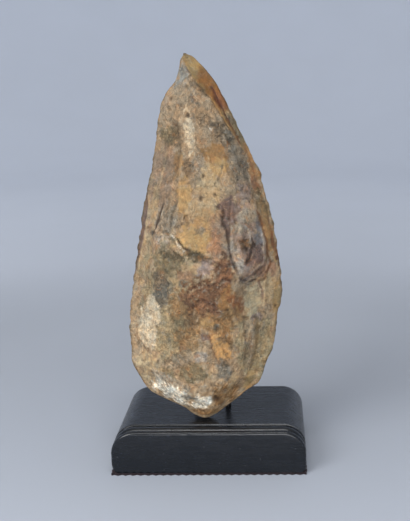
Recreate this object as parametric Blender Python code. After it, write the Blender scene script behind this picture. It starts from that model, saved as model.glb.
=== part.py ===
# Stone hand axe (biface) standing on its butt on a black wooden display stand.
# Metres, +Z up, front to -Y, the origin on the underside of the felt below the plinth's middle.

import math

import bmesh
import bpy
import numpy as np
from mathutils import Matrix, Vector

MM = 0.001
FIT_GAP = 0.3 * MM  # between pieces that touch

# Felt under the plinth, with a pinked edge
FELT_THICKNESS = 0.9 * MM
FELT_OVERHANG = 0.6 * MM
PINK_PITCH = 3.9 * MM
PINK_DEPTH = 0.9 * MM

# Plinth
PLINTH_WIDTH = 100 * MM
PLINTH_DEPTH = 60 * MM
PLINTH_HEIGHT = 22.3 * MM
SHOULDER_RADIUS = 12 * MM
FOOT_EASE = 2 * MM
FRONT_ROUND = 1.5 * MM
BACK_ROUND = 1.0 * MM
FRONT_GROOVE_SETBACK = 3.0 * MM
FRONT_GROOVE_WIDTH = 1.2 * MM
FRONT_GROOVE_DEPTH = 1.0 * MM
REAR_GROOVE_SETBACK = 9.5 * MM
REAR_GROOVE_WIDTH = 1.0 * MM
REAR_GROOVE_DEPTH = 0.8 * MM
BEAD_CROWN = 0.4 * MM
SHOULDER_STEPS = 9
ROUND_STEPS = 3

# Hand axe
AXE_LENGTH = 187.5 * MM
AXE_WIDTH = 80 * MM
AXE_THICKNESS = 44 * MM
AXE_LEAN = math.radians(6)
AXE_BEHIND_FRONT = 18 * MM  # from the plinth's front face to the middle of the butt
AXE_ROWS = 200
AXE_COLUMNS = 110
AXE_TRIANGLES = 6400

# Prop of bent rod behind the axe
ROD_DIAMETER = 3 * MM
PROP_SPREAD = 17 * MM  # between the two legs
PROP_BEHIND_BUTT = 15 * MM
PROP_HEIGHT = 74 * MM
PROP_SOCKET = 13 * MM
PROP_CORNER_RISE = 2.5 * MM  # height over the plinth at which the legs begin to lean
PROP_BEND_RADIUS = 9 * MM
SOCKET_CLEARANCE = 0.3 * MM
BEND_STEPS = 6
LOOP_STEPS = 14
LEG_STEPS = 8
DRILL_SIDES = 20
LEAN_ALLOWANCE = 1.05  # a leaning rod is this much wider, measured level

PLINTH_BOTTOM = FELT_THICKNESS + FIT_GAP
PLINTH_TOP = PLINTH_BOTTOM + PLINTH_HEIGHT
PLINTH_FRONT = -PLINTH_DEPTH / 2
AXE_Y = PLINTH_FRONT + AXE_BEHIND_FRONT

# Outline of the axe seen square on: share of its length up from the butt, then the left and the
# right edge as shares of its width from its axis.
OUTLINE = (
    (0.000, -0.018, -0.018),
    (0.004, -0.084, 0.009),
    (0.030, -0.175, 0.082),
    (0.058, -0.310, 0.160),
    (0.080, -0.398, 0.206),
    (0.102, -0.436, 0.288),
    (0.130, -0.474, 0.338),
    (0.169, -0.514, 0.376),
    (0.217, -0.518, 0.426),
    (0.273, -0.527, 0.441),
    (0.363, -0.504, 0.479),
    (0.485, -0.453, 0.452),
    (0.553, -0.429, 0.426),
    (0.617, -0.402, 0.386),
    (0.691, -0.360, 0.341),
    (0.755, -0.335, 0.272),
    (0.808, -0.314, 0.214),
    (0.862, -0.291, 0.150),
    (0.892, -0.256, 0.116),
    (0.935, -0.184, 0.063),
    (0.975, -0.157, -0.018),
    (0.996, -0.151, -0.075),
    (1.000, -0.134, -0.134),
)

# Height of the crest of each face above the middle plane, as shares of the thickness
FRONT_CREST = (
    (0.000, 0.000), (0.006, 0.100), (0.030, 0.215), (0.080, 0.310), (0.160, 0.395),
    (0.260, 0.455), (0.380, 0.480), (0.500, 0.450), (0.620, 0.380), (0.740, 0.295),
    (0.850, 0.205), (0.930, 0.140), (0.975, 0.090), (0.996, 0.035), (1.000, 0.000),
)
BACK_CREST = (
    (0.000, 0.000), (0.006, 0.110), (0.030, 0.235), (0.080, 0.340), (0.160, 0.430),
    (0.260, 0.495), (0.360, 0.520), (0.480, 0.480), (0.600, 0.400), (0.720, 0.315),
    (0.840, 0.220), (0.930, 0.140), (0.975, 0.085), (0.996, 0.035), (1.000, 0.000),
)
# Where the front crest lies across the face, from -1 at the left edge to 1 at the right
CREST_PLACE = ((0.0, 0.0), (0.3, 0.05), (0.5, -0.06), (0.65, -0.28), (0.8, -0.16), (1.0, 0.0))
FACE_FULLNESS = 1.7

# Flake scars of the front: middle (share of the width, share of the length), direction of the
# long axis in degrees from +X, half length and half width as shares of the length, and bite as a
# share of the face's height there.
FRONT_SCARS = (
    (-0.225, 0.925, 62, 0.060, 0.040, 0.40),
    (-0.270, 0.845, 40, 0.085, 0.054, 0.42),
    (-0.300, 0.765, 26, 0.090, 0.052, 0.38),
    (-0.335, 0.680, 36, 0.098, 0.056, 0.42),
    (-0.375, 0.595, 48, 0.098, 0.056, 0.40),
    (-0.450, 0.478, 82, 0.160, 0.050, 0.44),
    (-0.020, 0.600, 97, 0.180, 0.084, 0.18),
    (0.030, 0.792, 108, 0.115, 0.066, 0.22),
    (0.255, 0.700, 126, 0.110, 0.052, 0.32),
    (0.380, 0.600, 112, 0.090, 0.046, 0.40),
    (0.300, 0.355, 80, 0.095, 0.054, 0.28),
    (0.430, 0.350, 92, 0.100, 0.040, 0.42),
    (0.390, 0.215, 74, 0.145, 0.062, 0.46),
    (0.250, 0.080, 42, 0.095, 0.064, 0.38),
    (0.085, 0.195, 74, 0.062, 0.042, 0.10),
    (-0.490, 0.320, 94, 0.090, 0.046, 0.38),
    (-0.470, 0.195, 104, 0.080, 0.048, 0.40),
    (-0.360, 0.090, 134, 0.090, 0.054, 0.34),
    (-0.140, 0.042, 158, 0.085, 0.050, 0.28),
)

# Flakes struck off the back all along both edges
BACK_FLAKES_PER_EDGE = 7
BACK_FLAKE_FIRST = 0.05
BACK_FLAKE_LAST = 0.97
BACK_FLAKE_INSET = 0.56  # how far out from the axis a flake's middle lies, of the way to the edge
BACK_FLAKE_REACH = 0.165
BACK_FLAKE_WIDTH = 0.118
BACK_FLAKE_BITE = 0.36

# Bevelled facet from the tip down the upper right edge
TIP_FACET_FOOT = 0.735
TIP_FACET_SLOPE = 0.66
TIP_FACET_FADE = 0.05
TIP_FACET_EDGE = 0.5 * MM

# Knot of banded stone at the right of the front
KNOT_PLACE = (0.262, 0.515)
KNOT_HALF = (0.122, 0.056)
KNOT_TILT = math.radians(98)
KNOT_RISE = 2.6 * MM
KNOT_FOLDS = 1.6
KNOT_FOLD_DEPTH = 0.6 * MM

# Step where a flake broke off short, with the cortex standing proud below it
STEP_START = (-0.216, 0.519)
STEP_END = (0.060, 0.448)
STEP_BOW = 0.012
STEP_RISE = 1.3 * MM
STEP_SHARP = 1.7 * MM
STEP_FADE = 9 * MM

# Wavering of the edges, seen from the side and from the front
EDGE_WAVER = 1.3 * MM
LEFT_WAVES = 2.3
RIGHT_WAVES = 1.9
EDGE_NICKS = 0.35 * MM
NICK_SHARPNESS = 14


def curve_through(stations, places):
    """Smooth curve through (place, value) stations, with no overshoot between two of them."""
    x, y = (np.array(column, float) for column in zip(*stations))
    step = np.diff(x)
    rise = np.diff(y) / step
    same_way = rise[:-1] * rise[1:] > 0
    total = np.where(same_way, rise[:-1] + rise[1:], 1.0)
    inner = np.where(same_way, 2 * rise[:-1] * rise[1:] / total, 0.0)
    slope = np.concatenate(([rise[0]], inner, [rise[-1]]))
    k = np.clip(np.searchsorted(x, places, side="right") - 1, 0, len(step) - 1)
    t = (places - x[k]) / step[k]
    start = (1 + 2 * t) * (1 - t) ** 2 * y[k] + t * (1 - t) ** 2 * step[k] * slope[k]
    end = t**2 * (3 - 2 * t) * y[k + 1] + t**2 * (t - 1) * step[k] * slope[k + 1]
    return start + end


def smooth_step(low, high, value):
    t = np.clip((value - low) / (high - low), 0, 1)
    return t * t * (3 - 2 * t)


def axe_edges(share):
    """X of the left and the right edge at a share of the axe's length."""
    left = curve_through([(s, left) for s, left, _ in OUTLINE], share) * AXE_WIDTH
    right = curve_through([(s, right) for s, _, right in OUTLINE], share) * AXE_WIDTH
    return left, right


def edge_nicks(across, share):
    """Small nicks of both edges, which die out a little way in."""
    turn = 2 * math.pi * share
    left = np.sin(19 * turn) * np.cos(7 * turn + 1.1)
    right = np.sin(17 * turn + 0.7) * np.cos(5 * turn)
    at_edge = np.abs(across) ** NICK_SHARPNESS * 4 * share * (1 - share)
    return EDGE_NICKS * at_edge * np.where(across < 0, left, right)


def bowl(x, z, scar):
    """How deep a point lies in a scar, from 0 at its rim to 1 in its middle."""
    place, height, angle, half_length, half_width = scar[:5]
    turn = math.radians(angle)
    dx = x - place * AXE_WIDTH
    dz = z - height * AXE_LENGTH
    along = (dx * math.cos(turn) + dz * math.sin(turn)) / (half_length * AXE_LENGTH)
    across = (dz * math.cos(turn) - dx * math.sin(turn)) / (half_width * AXE_LENGTH)
    return np.clip(1 - along**2 - across**2, 0, 1)


def deepest_scar(x, z, scars):
    cut = np.zeros_like(x)
    for scar in scars:
        cut = np.maximum(cut, scar[5] * bowl(x, z, scar))
    return cut


def back_scars():
    scars = []
    for side in (-1, 1):
        for number in range(BACK_FLAKES_PER_EDGE):
            turn = 2.4 * number + side
            spread = (number + 0.25 * side + 0.25 + 0.2 * math.sin(turn)) / BACK_FLAKES_PER_EDGE
            height = BACK_FLAKE_FIRST + (BACK_FLAKE_LAST - BACK_FLAKE_FIRST) * spread
            left, right = axe_edges(np.array([height]))
            edge = (left if side < 0 else right)[0] / AXE_WIDTH
            slant = 90 + side * (60 + 22 * math.sin(1.9 * turn))
            size = 1 - 0.40 * height + 0.14 * math.sin(1.7 * turn)
            scars.append((
                edge * BACK_FLAKE_INSET, height, slant,
                BACK_FLAKE_REACH * size, BACK_FLAKE_WIDTH * size,
                BACK_FLAKE_BITE * (0.55 + 0.6 * size) * (1 + 0.2 * math.cos(turn)),
            ))
    return scars


def face_height(across, crest_place):
    """Height of a face from 1 on its crest to 0 at its edges."""
    reach = np.where(across > crest_place, 1 - crest_place, 1 + crest_place)
    return 1 - (np.abs(across - crest_place) / reach) ** FACE_FULLNESS


def tip_facet(x, right, share):
    """Height of the bevelled facet that rises from the upper right edge."""
    steepness = TIP_FACET_SLOPE / np.maximum(
        smooth_step(TIP_FACET_FOOT - TIP_FACET_FADE, TIP_FACET_FOOT + TIP_FACET_FADE, share), 0.05)
    return TIP_FACET_EDGE + steepness * (right - x)


def knot(x, z):
    """Rise of the banded knot, with its rim and folds."""
    dx = x - KNOT_PLACE[0] * AXE_WIDTH
    dz = z - KNOT_PLACE[1] * AXE_LENGTH
    along = (dx * math.cos(KNOT_TILT) + dz * math.sin(KNOT_TILT)) / (KNOT_HALF[0] * AXE_LENGTH)
    across = (dz * math.cos(KNOT_TILT) - dx * math.sin(KNOT_TILT)) / (KNOT_HALF[1] * AXE_LENGTH)
    across = across + 0.22 * np.sin(2.6 * along + 0.8)
    radius = np.sqrt(along**2 + across**2)
    inside = np.clip(1 - radius**2, 0, 1)
    folds = KNOT_FOLD_DEPTH * np.cos(2 * math.pi * (KNOT_FOLDS * radius + 0.35 * across))
    return KNOT_RISE * np.sqrt(inside) + folds * smooth_step(0, 0.4, inside)


def broken_step(x, z):
    """Rise of the cortex just below the line where a flake broke off short."""
    start = np.array(STEP_START) * (AXE_WIDTH, AXE_LENGTH)
    end = np.array(STEP_END) * (AXE_WIDTH, AXE_LENGTH)
    run = end - start
    length = math.hypot(*run)
    along = ((x - start[0]) * run[0] + (z - start[1]) * run[1]) / length
    below = ((x - start[0]) * run[1] - (z - start[1]) * run[0]) / length
    below = below - STEP_BOW * AXE_LENGTH * np.sin(math.pi * np.clip(along / length, 0, 1))
    rise = smooth_step(0, STEP_SHARP, below) * (1 - smooth_step(0, 3 * STEP_FADE, below))
    ends = smooth_step(-STEP_FADE, 0, along) * (1 - smooth_step(length, length + STEP_FADE, along))
    return STEP_RISE * rise * ends


def axe_sheets(across, share):
    """X, height and depth of the front and of the back face, at -1..1 across and 0..1 up."""
    left, right = axe_edges(share)
    x = left + (across + 1) / 2 * (right - left) + edge_nicks(across, share)
    z = share * AXE_LENGTH
    ends = 4 * share * (1 - share)
    turn = 2 * math.pi * share
    left_waver = np.sin(LEFT_WAVES * turn + 0.6)
    right_waver = np.sin(RIGHT_WAVES * turn + 2.1)
    middle = EDGE_WAVER * ends * (left_waver * (1 - across) + right_waver * (1 + across)) / 2

    front = face_height(across, curve_through(CREST_PLACE, share))
    front = front * curve_through(FRONT_CREST, share) * AXE_THICKNESS
    front = np.minimum(front, tip_facet(x, right, share) * np.clip(1 - across, 0, 0.1) / 0.1)
    front = front * (1 - deepest_scar(x, z, FRONT_SCARS))
    inner = smooth_step(0, 0.25, 1 - np.abs(across))
    front = front + inner * (knot(x, z) + broken_step(x, z))

    back = face_height(across, np.zeros_like(share))
    back = back * curve_through(BACK_CREST, share) * AXE_THICKNESS
    back = back * (1 - deepest_scar(x, z, back_scars()))
    return x, z, middle + front, middle - back


def axe_mesh():
    """Rings round the axe from butt to tip, each along the front and home along the back."""
    rows = (1 - np.cos(math.pi * np.arange(1, AXE_ROWS) / AXE_ROWS)) / 2
    columns = np.sin(math.pi * (np.arange(AXE_COLUMNS + 1) / AXE_COLUMNS - 0.5))
    share, across = np.meshgrid(rows, columns, indexing="ij")
    x, z, front, back = axe_sheets(across, share)
    ring_x = np.concatenate([x, x[:, -2:0:-1]], axis=1)
    ring_z = np.concatenate([z, z[:, -2:0:-1]], axis=1)
    ring_depth = np.concatenate([front, back[:, -2:0:-1]], axis=1)
    points = np.stack([ring_x, -ring_depth, ring_z], axis=2).reshape(-1, 3)

    around = ring_x.shape[1]
    butt = (OUTLINE[0][1] * AXE_WIDTH, 0.0, 0.0)
    tip = (OUTLINE[-1][1] * AXE_WIDTH, 0.0, AXE_LENGTH)
    points = np.vstack([points, butt, tip])
    butt_index = len(points) - 2
    tip_index = len(points) - 1
    faces = []
    for row in range(len(rows) - 1):
        for k in range(around):
            after = (k + 1) % around
            low = row * around
            faces.append((low + k, low + after, low + around + after, low + around + k))
    last = (len(rows) - 1) * around
    for k in range(around):
        after = (k + 1) % around
        faces.append((after, k, butt_index))
        faces.append((last + k, last + after, tip_index))
    mesh = bpy.data.meshes.new("hand_axe")
    mesh.from_pydata(points.tolist(), [], faces)
    return mesh


def axe_matrix(points):
    """Leans the axe back and sets its lowest point just over the plinth."""
    lean = Matrix.Rotation(-AXE_LEAN, 4, "X")
    lowest = min((lean @ Vector(point)).z for point in points)
    return Matrix.Translation((0, AXE_Y, PLINTH_TOP + FIT_GAP - lowest)) @ lean


def material(name, colour, roughness, metallic=0.0):
    found = bpy.data.materials.new(name)
    found.use_nodes = True
    shader = found.node_tree.nodes["Principled BSDF"]
    shader.inputs["Base Color"].default_value = (*colour, 1)
    shader.inputs["Roughness"].default_value = roughness
    shader.inputs["Metallic"].default_value = metallic
    return found


def add_object(name, data, finish):
    made = bpy.data.objects.new(name, data)
    bpy.context.scene.collection.objects.link(made)
    data.materials.append(finish)
    return made


def hand_axe():
    mesh = axe_mesh()
    made = add_object("hand_axe", mesh, material("flint", (0.36, 0.25, 0.13), 0.6))
    made.matrix_world = axe_matrix([vertex.co for vertex in mesh.vertices])
    sheets = 2 * len(mesh.polygons)
    thin = made.modifiers.new("fewer faces", "DECIMATE")
    thin.ratio = AXE_TRIANGLES / sheets
    return made


def arch(inset):
    """End profile of the plinth: flat foot, eased corners, straight sides, round shoulders."""
    half = PLINTH_WIDTH / 2 - inset
    top = PLINTH_TOP - inset
    shoulder = SHOULDER_RADIUS - inset
    profile = []
    for step in range(ROUND_STEPS + 1):
        turn = math.pi / 2 * step / ROUND_STEPS
        profile.append((
            half - FOOT_EASE + FOOT_EASE * math.sin(turn),
            PLINTH_BOTTOM + FOOT_EASE - FOOT_EASE * math.cos(turn),
        ))
    for step in range(SHOULDER_STEPS + 1):
        turn = math.pi / 2 * step / SHOULDER_STEPS
        profile.append((
            half - shoulder + shoulder * math.cos(turn), top - shoulder + shoulder * math.sin(turn)
        ))
    return profile + [(-x, z) for x, z in reversed(profile)]


def moulding():
    """(distance behind the front face, inset of the arch there) along the plinth."""
    stations = []
    for step in range(ROUND_STEPS + 1):
        turn = math.pi / 2 * step / ROUND_STEPS
        stations.append((FRONT_ROUND * (1 - math.cos(turn)), FRONT_ROUND * (1 - math.sin(turn))))
    bead_start = FRONT_GROOVE_SETBACK + FRONT_GROOVE_WIDTH / 2
    bead_end = REAR_GROOVE_SETBACK - REAR_GROOVE_WIDTH / 2
    stations.append((FRONT_GROOVE_SETBACK - FRONT_GROOVE_WIDTH / 2, 0))
    stations.append((FRONT_GROOVE_SETBACK, FRONT_GROOVE_DEPTH))
    for step in range(5):
        share = step / 4
        crown = BEAD_CROWN * (2 * share - 1) ** 2
        stations.append((bead_start + share * (bead_end - bead_start), crown))
    stations.append((REAR_GROOVE_SETBACK, REAR_GROOVE_DEPTH))
    stations.append((REAR_GROOVE_SETBACK + REAR_GROOVE_WIDTH / 2, 0))
    for step in range(ROUND_STEPS + 1):
        turn = math.pi / 2 * step / ROUND_STEPS
        stations.append((
            PLINTH_DEPTH - BACK_ROUND + BACK_ROUND * math.sin(turn),
            BACK_ROUND * (1 - math.cos(turn)),
        ))
    return stations


def closed_loft(name, loops):
    """Solid through loops of as many points each, closed by a flat face at both ends."""
    shape = bmesh.new()
    rings = [[shape.verts.new(point) for point in loop] for loop in loops]
    for first, second in zip(rings, rings[1:]):
        for k in range(len(first)):
            shape.faces.new((first[k - 1], first[k], second[k], second[k - 1]))
    shape.faces.new(rings[0])
    shape.faces.new(rings[-1][::-1])
    bmesh.ops.recalc_face_normals(shape, faces=shape.faces)
    mesh = bpy.data.meshes.new(name)
    shape.to_mesh(mesh)
    shape.free()
    return mesh


def prop_legs_x():
    return (-PROP_SPREAD / 2, PROP_SPREAD / 2)


def prop_foot_y():
    return AXE_Y + PROP_BEHIND_BUTT


def plinth():
    loops = [
        [(x, PLINTH_FRONT + behind, z) for x, z in arch(inset)] for behind, inset in moulding()
    ]
    mesh = closed_loft("plinth", loops)
    made = add_object("plinth", mesh, material("black_lacquer", (0.03, 0.035, 0.042), 0.35))
    for number, x in enumerate(prop_legs_x(), 1):
        drill_depth = PROP_SOCKET + FIT_GAP
        bpy.ops.mesh.primitive_cylinder_add(
            vertices=DRILL_SIDES, radius=ROD_DIAMETER / 2 + SOCKET_CLEARANCE, depth=2 * drill_depth,
            location=(x, prop_foot_y(), PLINTH_TOP),
        )
        drill = bpy.context.object
        drill.name = f"drill_{number}"
        drill.hide_render = True
        drill.display_type = "WIRE"
        hole = made.modifiers.new(f"prop hole {number}", "BOOLEAN")
        hole.operation = "DIFFERENCE"
        hole.object = drill
    return made


def prop_corner_z():
    return PLINTH_TOP + PROP_CORNER_RISE


def prop_lean(axe):
    """Angle of the prop's legs: the least that clears the axe's back all the way up."""
    clear = (ROD_DIAMETER / 2 + FIT_GAP) * LEAN_ALLOWANCE
    loop_z = PLINTH_TOP + PROP_HEIGHT - PROP_SPREAD / 2
    slope = 0.0
    for vertex in axe.data.vertices:
        point = axe.matrix_world @ vertex.co
        above = point.z - prop_corner_z()
        beside = abs(point.x) - PROP_SPREAD / 2
        at_leg = abs(beside) < clear
        at_loop = beside < clear and point.z > loop_z
        if PROP_BEND_RADIUS < above < PROP_HEIGHT and (at_leg or at_loop):
            slope = max(slope, (point.y - prop_foot_y() + clear) / above)
    return math.atan(slope)


def rear_prop(axe):
    lean = prop_lean(axe)
    low = PLINTH_TOP - PROP_SOCKET
    trim = PROP_BEND_RADIUS * math.tan(lean / 2)
    bend_z = prop_corner_z() - trim
    leg = [(prop_foot_y(), low), (prop_foot_y(), (low + bend_z) / 2)]
    for step in range(BEND_STEPS + 1):
        turn = lean * step / BEND_STEPS
        leg.append((
            prop_foot_y() + PROP_BEND_RADIUS * (1 - math.cos(turn)),
            bend_z + PROP_BEND_RADIUS * math.sin(turn),
        ))
    start_y, start_z = leg[-1]
    run = (PROP_HEIGHT - PROP_CORNER_RISE) / math.cos(lean) - PROP_SPREAD / 2 - trim
    for step in range(1, LEG_STEPS + 1):
        along = run * step / LEG_STEPS
        leg.append((start_y + along * math.sin(lean), start_z + along * math.cos(lean)))
    top_y, top_z = leg[-1]
    left_x, right_x = prop_legs_x()
    route = [(left_x, y, z) for y, z in leg]
    for step in range(1, LOOP_STEPS):
        turn = math.pi * step / LOOP_STEPS
        lift = right_x * math.sin(turn)
        route.append((
            -right_x * math.cos(turn), top_y + lift * math.sin(lean), top_z + lift * math.cos(lean)
        ))
    route += [(right_x, y, z) for y, z in reversed(leg)]

    curve = bpy.data.curves.new("rear_prop", "CURVE")
    curve.dimensions = "3D"
    curve.bevel_depth = ROD_DIAMETER / 2
    curve.bevel_resolution = 3
    curve.use_fill_caps = True
    spline = curve.splines.new("POLY")
    spline.points.add(len(route) - 1)
    for point, place in zip(spline.points, route):
        point.co = (*place, 1)
    return add_object("rear_prop", curve, material("black_steel", (0.02, 0.02, 0.022), 0.4, 1.0))


def pinked_edge(half_width, half_depth):
    """Zigzag round a rectangle, with whole teeth along each side."""
    points = []
    corners = (
        (-half_width, -half_depth), (half_width, -half_depth),
        (half_width, half_depth), (-half_width, half_depth),
    )
    for start, end in zip(corners, corners[1:] + corners[:1]):
        length = math.dist(start, end)
        teeth = max(1, round(length / PINK_PITCH))
        inward = ((start[1] - end[1]) / length, (end[0] - start[0]) / length)
        for tooth in range(teeth):
            for share, depth in ((tooth / teeth, 0.0), ((tooth + 0.5) / teeth, PINK_DEPTH)):
                points.append((
                    start[0] + share * (end[0] - start[0]) + depth * inward[0],
                    start[1] + share * (end[1] - start[1]) + depth * inward[1],
                ))
    return points


def felt_pad():
    outline = pinked_edge(PLINTH_WIDTH / 2 + FELT_OVERHANG, PLINTH_DEPTH / 2 + FELT_OVERHANG)
    loops = [[(x, y, z) for x, y in outline] for z in (0.0, FELT_THICKNESS)]
    mesh = closed_loft("felt_pad", loops)
    return add_object("felt_pad", mesh, material("maroon_felt", (0.028, 0.018, 0.023), 0.95))


def main():
    for old in list(bpy.data.objects):
        bpy.data.objects.remove(old)
    axe = hand_axe()
    block = plinth()
    prop = rear_prop(axe)
    felt_pad()
    bpy.context.view_layer.update()
    for piece in (axe, block):
        piece.data.shade_smooth()
        piece.data.set_sharp_from_angle(angle=math.radians(32))
    for spline in prop.data.splines:
        spline.use_smooth = True


main()
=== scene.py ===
import math

import bmesh
import bpy
import numpy as np
from mathutils import Matrix, Vector, noise


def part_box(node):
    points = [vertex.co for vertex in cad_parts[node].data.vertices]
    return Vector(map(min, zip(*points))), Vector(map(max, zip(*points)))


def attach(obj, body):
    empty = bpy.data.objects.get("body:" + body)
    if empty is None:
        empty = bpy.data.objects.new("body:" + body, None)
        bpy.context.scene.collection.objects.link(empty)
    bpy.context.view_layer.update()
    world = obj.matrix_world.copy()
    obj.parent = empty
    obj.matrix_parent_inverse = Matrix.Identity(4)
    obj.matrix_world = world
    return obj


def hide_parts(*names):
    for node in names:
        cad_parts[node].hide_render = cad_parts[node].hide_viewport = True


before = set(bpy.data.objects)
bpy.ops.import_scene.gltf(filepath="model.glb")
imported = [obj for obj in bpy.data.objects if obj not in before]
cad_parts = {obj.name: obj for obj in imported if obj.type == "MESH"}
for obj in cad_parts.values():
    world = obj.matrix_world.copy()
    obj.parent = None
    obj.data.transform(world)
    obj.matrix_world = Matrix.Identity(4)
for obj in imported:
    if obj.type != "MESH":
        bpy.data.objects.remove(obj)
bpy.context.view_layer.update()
mm = 0.001
print("frame loaded:", sorted(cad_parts))


# Small helpers

def linear(colour):
    # sRGB from 0 to 255, as light
    share = np.asarray(colour, float) / 255
    return np.where(share <= 0.04045, share / 12.92, ((share + 0.055) / 1.055) ** 2.4)


def softStep(low, high, value):
    share = np.clip((value - low) / (high - low), 0, 1)
    return share * share * (3 - 2 * share)


def fractalNoise(points, size, octaves=3, shift=0.0):
    # points in mm, size of the largest lumps in mm
    places = (points / size + shift).tolist()
    return np.array([noise.fractal(place, 0.9, 2.1, octaves) for place in places])


def quarterTurn(steps):
    # sine and cosine from 0 to 90 degrees
    turns = [math.pi / 2 * step / steps for step in range(steps + 1)]
    return [(math.sin(turn), math.cos(turn)) for turn in turns]


def ringFaces(rings, around, first=0):
    # quads between closed rings of points that follow one another
    faces = []
    for row in range(rings - 1):
        low = first + row * around
        for k in range(around):
            after = (k + 1) % around
            faces.append((low + k, low + after, low + around + after, low + around + k))
    return faces


def newMesh(name, points, faces):
    mesh = bpy.data.meshes.new(name)
    mesh.from_pydata(points, [], faces)
    return mesh


def newObject(name, data):
    made = bpy.data.objects.new(name, data)
    bpy.context.scene.collection.objects.link(made)
    return made


def plainMesh(thing):
    # the mesh that an object's modifiers leave
    bpy.context.view_layer.update()
    ready = thing.evaluated_get(bpy.context.evaluated_depsgraph_get())
    return bpy.data.meshes.new_from_object(ready)


def feed(tree, node, inputs):
    for name, value in inputs.items():
        if isinstance(value, bpy.types.NodeSocket):
            tree.links.new(value, node.inputs[name])
        else:
            node.inputs[name].default_value = value


def addNode(tree, kind, inputs=None, **settings):
    made = tree.nodes.new(kind)
    for name, value in settings.items():
        setattr(made, name, value)
    feed(tree, made, inputs or {})
    return made


def calc(tree, operation, *values):
    return addNode(tree, "ShaderNodeMath", dict(enumerate(values)), operation=operation).outputs[0]


def mixColour(tree, factor, first, second, blend="MIX"):
    inputs = {0: factor, 6: first, 7: second}
    made = addNode(tree, "ShaderNodeMix", inputs, data_type="RGBA", blend_type=blend)
    return made.outputs[2]


def tinted(tree, colour, tone):
    return mixColour(tree, 1.0, colour, tone, "MULTIPLY")


def mixValue(tree, factor, first, second):
    return addNode(tree, "ShaderNodeMix", {0: factor, 2: first, 3: second}).outputs[0]


def noiseValue(tree, vector, size, detail=3.0, roughness=0.55, distortion=0.0):
    # size in mm
    inputs = {"Vector": vector, "Scale": 1 / (size * mm), "Detail": detail,
              "Roughness": roughness, "Distortion": distortion}
    return addNode(tree, "ShaderNodeTexNoise", inputs).outputs["Fac"]


def centred(tree, value):
    # a noise value, moved to lie round 0
    return calc(tree, "SUBTRACT", value, 0.5)


def between(tree, value, low, high, first=0.0, second=1.0):
    inputs = {0: value, 1: low, 2: high, 3: first, 4: second}
    return addNode(tree, "ShaderNodeMapRange", inputs, interpolation_type="SMOOTHSTEP").outputs[0]


def attribute(tree, name, output="Fac"):
    return addNode(tree, "ShaderNodeAttribute", attribute_name=name).outputs[output]


def bumpNormal(tree, height, strength, depth):
    # depth in mm
    inputs = {"Strength": strength, "Distance": depth * mm, "Height": height}
    return addNode(tree, "ShaderNodeBump", inputs).outputs[0]


def newGroup(name, kind, inputs, outputs):
    tree = bpy.data.node_groups.new(name, kind)
    for label, (socketKind, value) in inputs.items():
        socket = tree.interface.new_socket(label, in_out="INPUT", socket_type=socketKind)
        if value is not None:
            socket.default_value = value
    for label, socketKind in outputs.items():
        tree.interface.new_socket(label, in_out="OUTPUT", socket_type=socketKind)
    return tree, tree.nodes.new("NodeGroupInput").outputs, tree.nodes.new("NodeGroupOutput")


def newMaterial(name):
    made = bpy.data.materials.new(name)
    made.use_nodes = True
    tree = made.node_tree
    place = addNode(tree, "ShaderNodeTexCoord").outputs["Object"]
    return made, tree, tree.nodes["Principled BSDF"], place


def finishPiece(name, mesh, material, node):
    piece = newObject(name, mesh)
    if material.name not in mesh.materials:
        mesh.materials.append(material)
    mesh.shade_smooth()
    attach(piece, "root")
    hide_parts(node)
    print(name, "made with", len(mesh.polygons), "faces")
    return piece


# Shared effects

def brokenMaskGroup():
    # a soft mask with its border broken up into crisp patches and crumbs
    tree, given, result = newGroup("brokenMask", "ShaderNodeTree", {
        "Vector": ("NodeSocketVector", None), "Mask": ("NodeSocketFloat", 0.5),
        "Patch Size": ("NodeSocketFloat", 2.2), "Crumb Size": ("NodeSocketFloat", 0.7),
        "Crumbs": ("NodeSocketFloat", 0.4), "Edge": ("NodeSocketFloat", 0.12),
        "Spread": ("NodeSocketFloat", 2.6),
    }, {"Mask": "NodeSocketFloat"})
    lumps = []
    for size, detail in (("Patch Size", 3.0), ("Crumb Size", 2.0)):
        scale = calc(tree, "DIVIDE", 1 / mm, given[size])
        inputs = {"Vector": given["Vector"], "Scale": scale, "Detail": detail, "Roughness": 0.6}
        lumps.append(addNode(tree, "ShaderNodeTexNoise", inputs).outputs["Fac"])
    field = mixValue(tree, given["Crumbs"], *lumps)
    spread = calc(tree, "MULTIPLY", centred(tree, field), given["Spread"])
    level = calc(tree, "ADD", given["Mask"], spread)
    low, high = (calc(tree, side, 0.5, given["Edge"]) for side in ("SUBTRACT", "ADD"))
    feed(tree, result, {"Mask": between(tree, level, low, high)})
    return tree


def gritGroup():
    # small specks, about one to a cell, each full up to a share of its radius
    tree, given, result = newGroup("grit", "ShaderNodeTree", {
        "Vector": ("NodeSocketVector", None), "Spacing": ("NodeSocketFloat", 1.2),
        "Speck": ("NodeSocketFloat", 0.25), "Amount": ("NodeSocketFloat", 0.5),
        "Full": ("NodeSocketFloat", 0.45),
    }, {"Mask": "NodeSocketFloat"})
    scale = calc(tree, "DIVIDE", 1 / mm, given["Spacing"])
    cells = addNode(tree, "ShaderNodeTexVoronoi", {"Vector": given["Vector"], "Scale": scale})
    chance = addNode(tree, "ShaderNodeSeparateColor", {0: cells.outputs["Color"]}).outputs[0]
    shown = calc(tree, "LESS_THAN", chance, given["Amount"])
    edge = calc(tree, "MULTIPLY", given["Speck"], given["Full"])
    speck = between(tree, cells.outputs["Distance"], given["Speck"], edge)
    feed(tree, result, {"Mask": calc(tree, "MULTIPLY", speck, shown)})
    return tree


def effect(tree, group, inputs):
    return addNode(tree, "ShaderNodeGroup", inputs, node_tree=group).outputs[0]


brokenMask = brokenMaskGroup()
grit = gritGroup()


# Studio: pale sweep all round, soft light, camera

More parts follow.
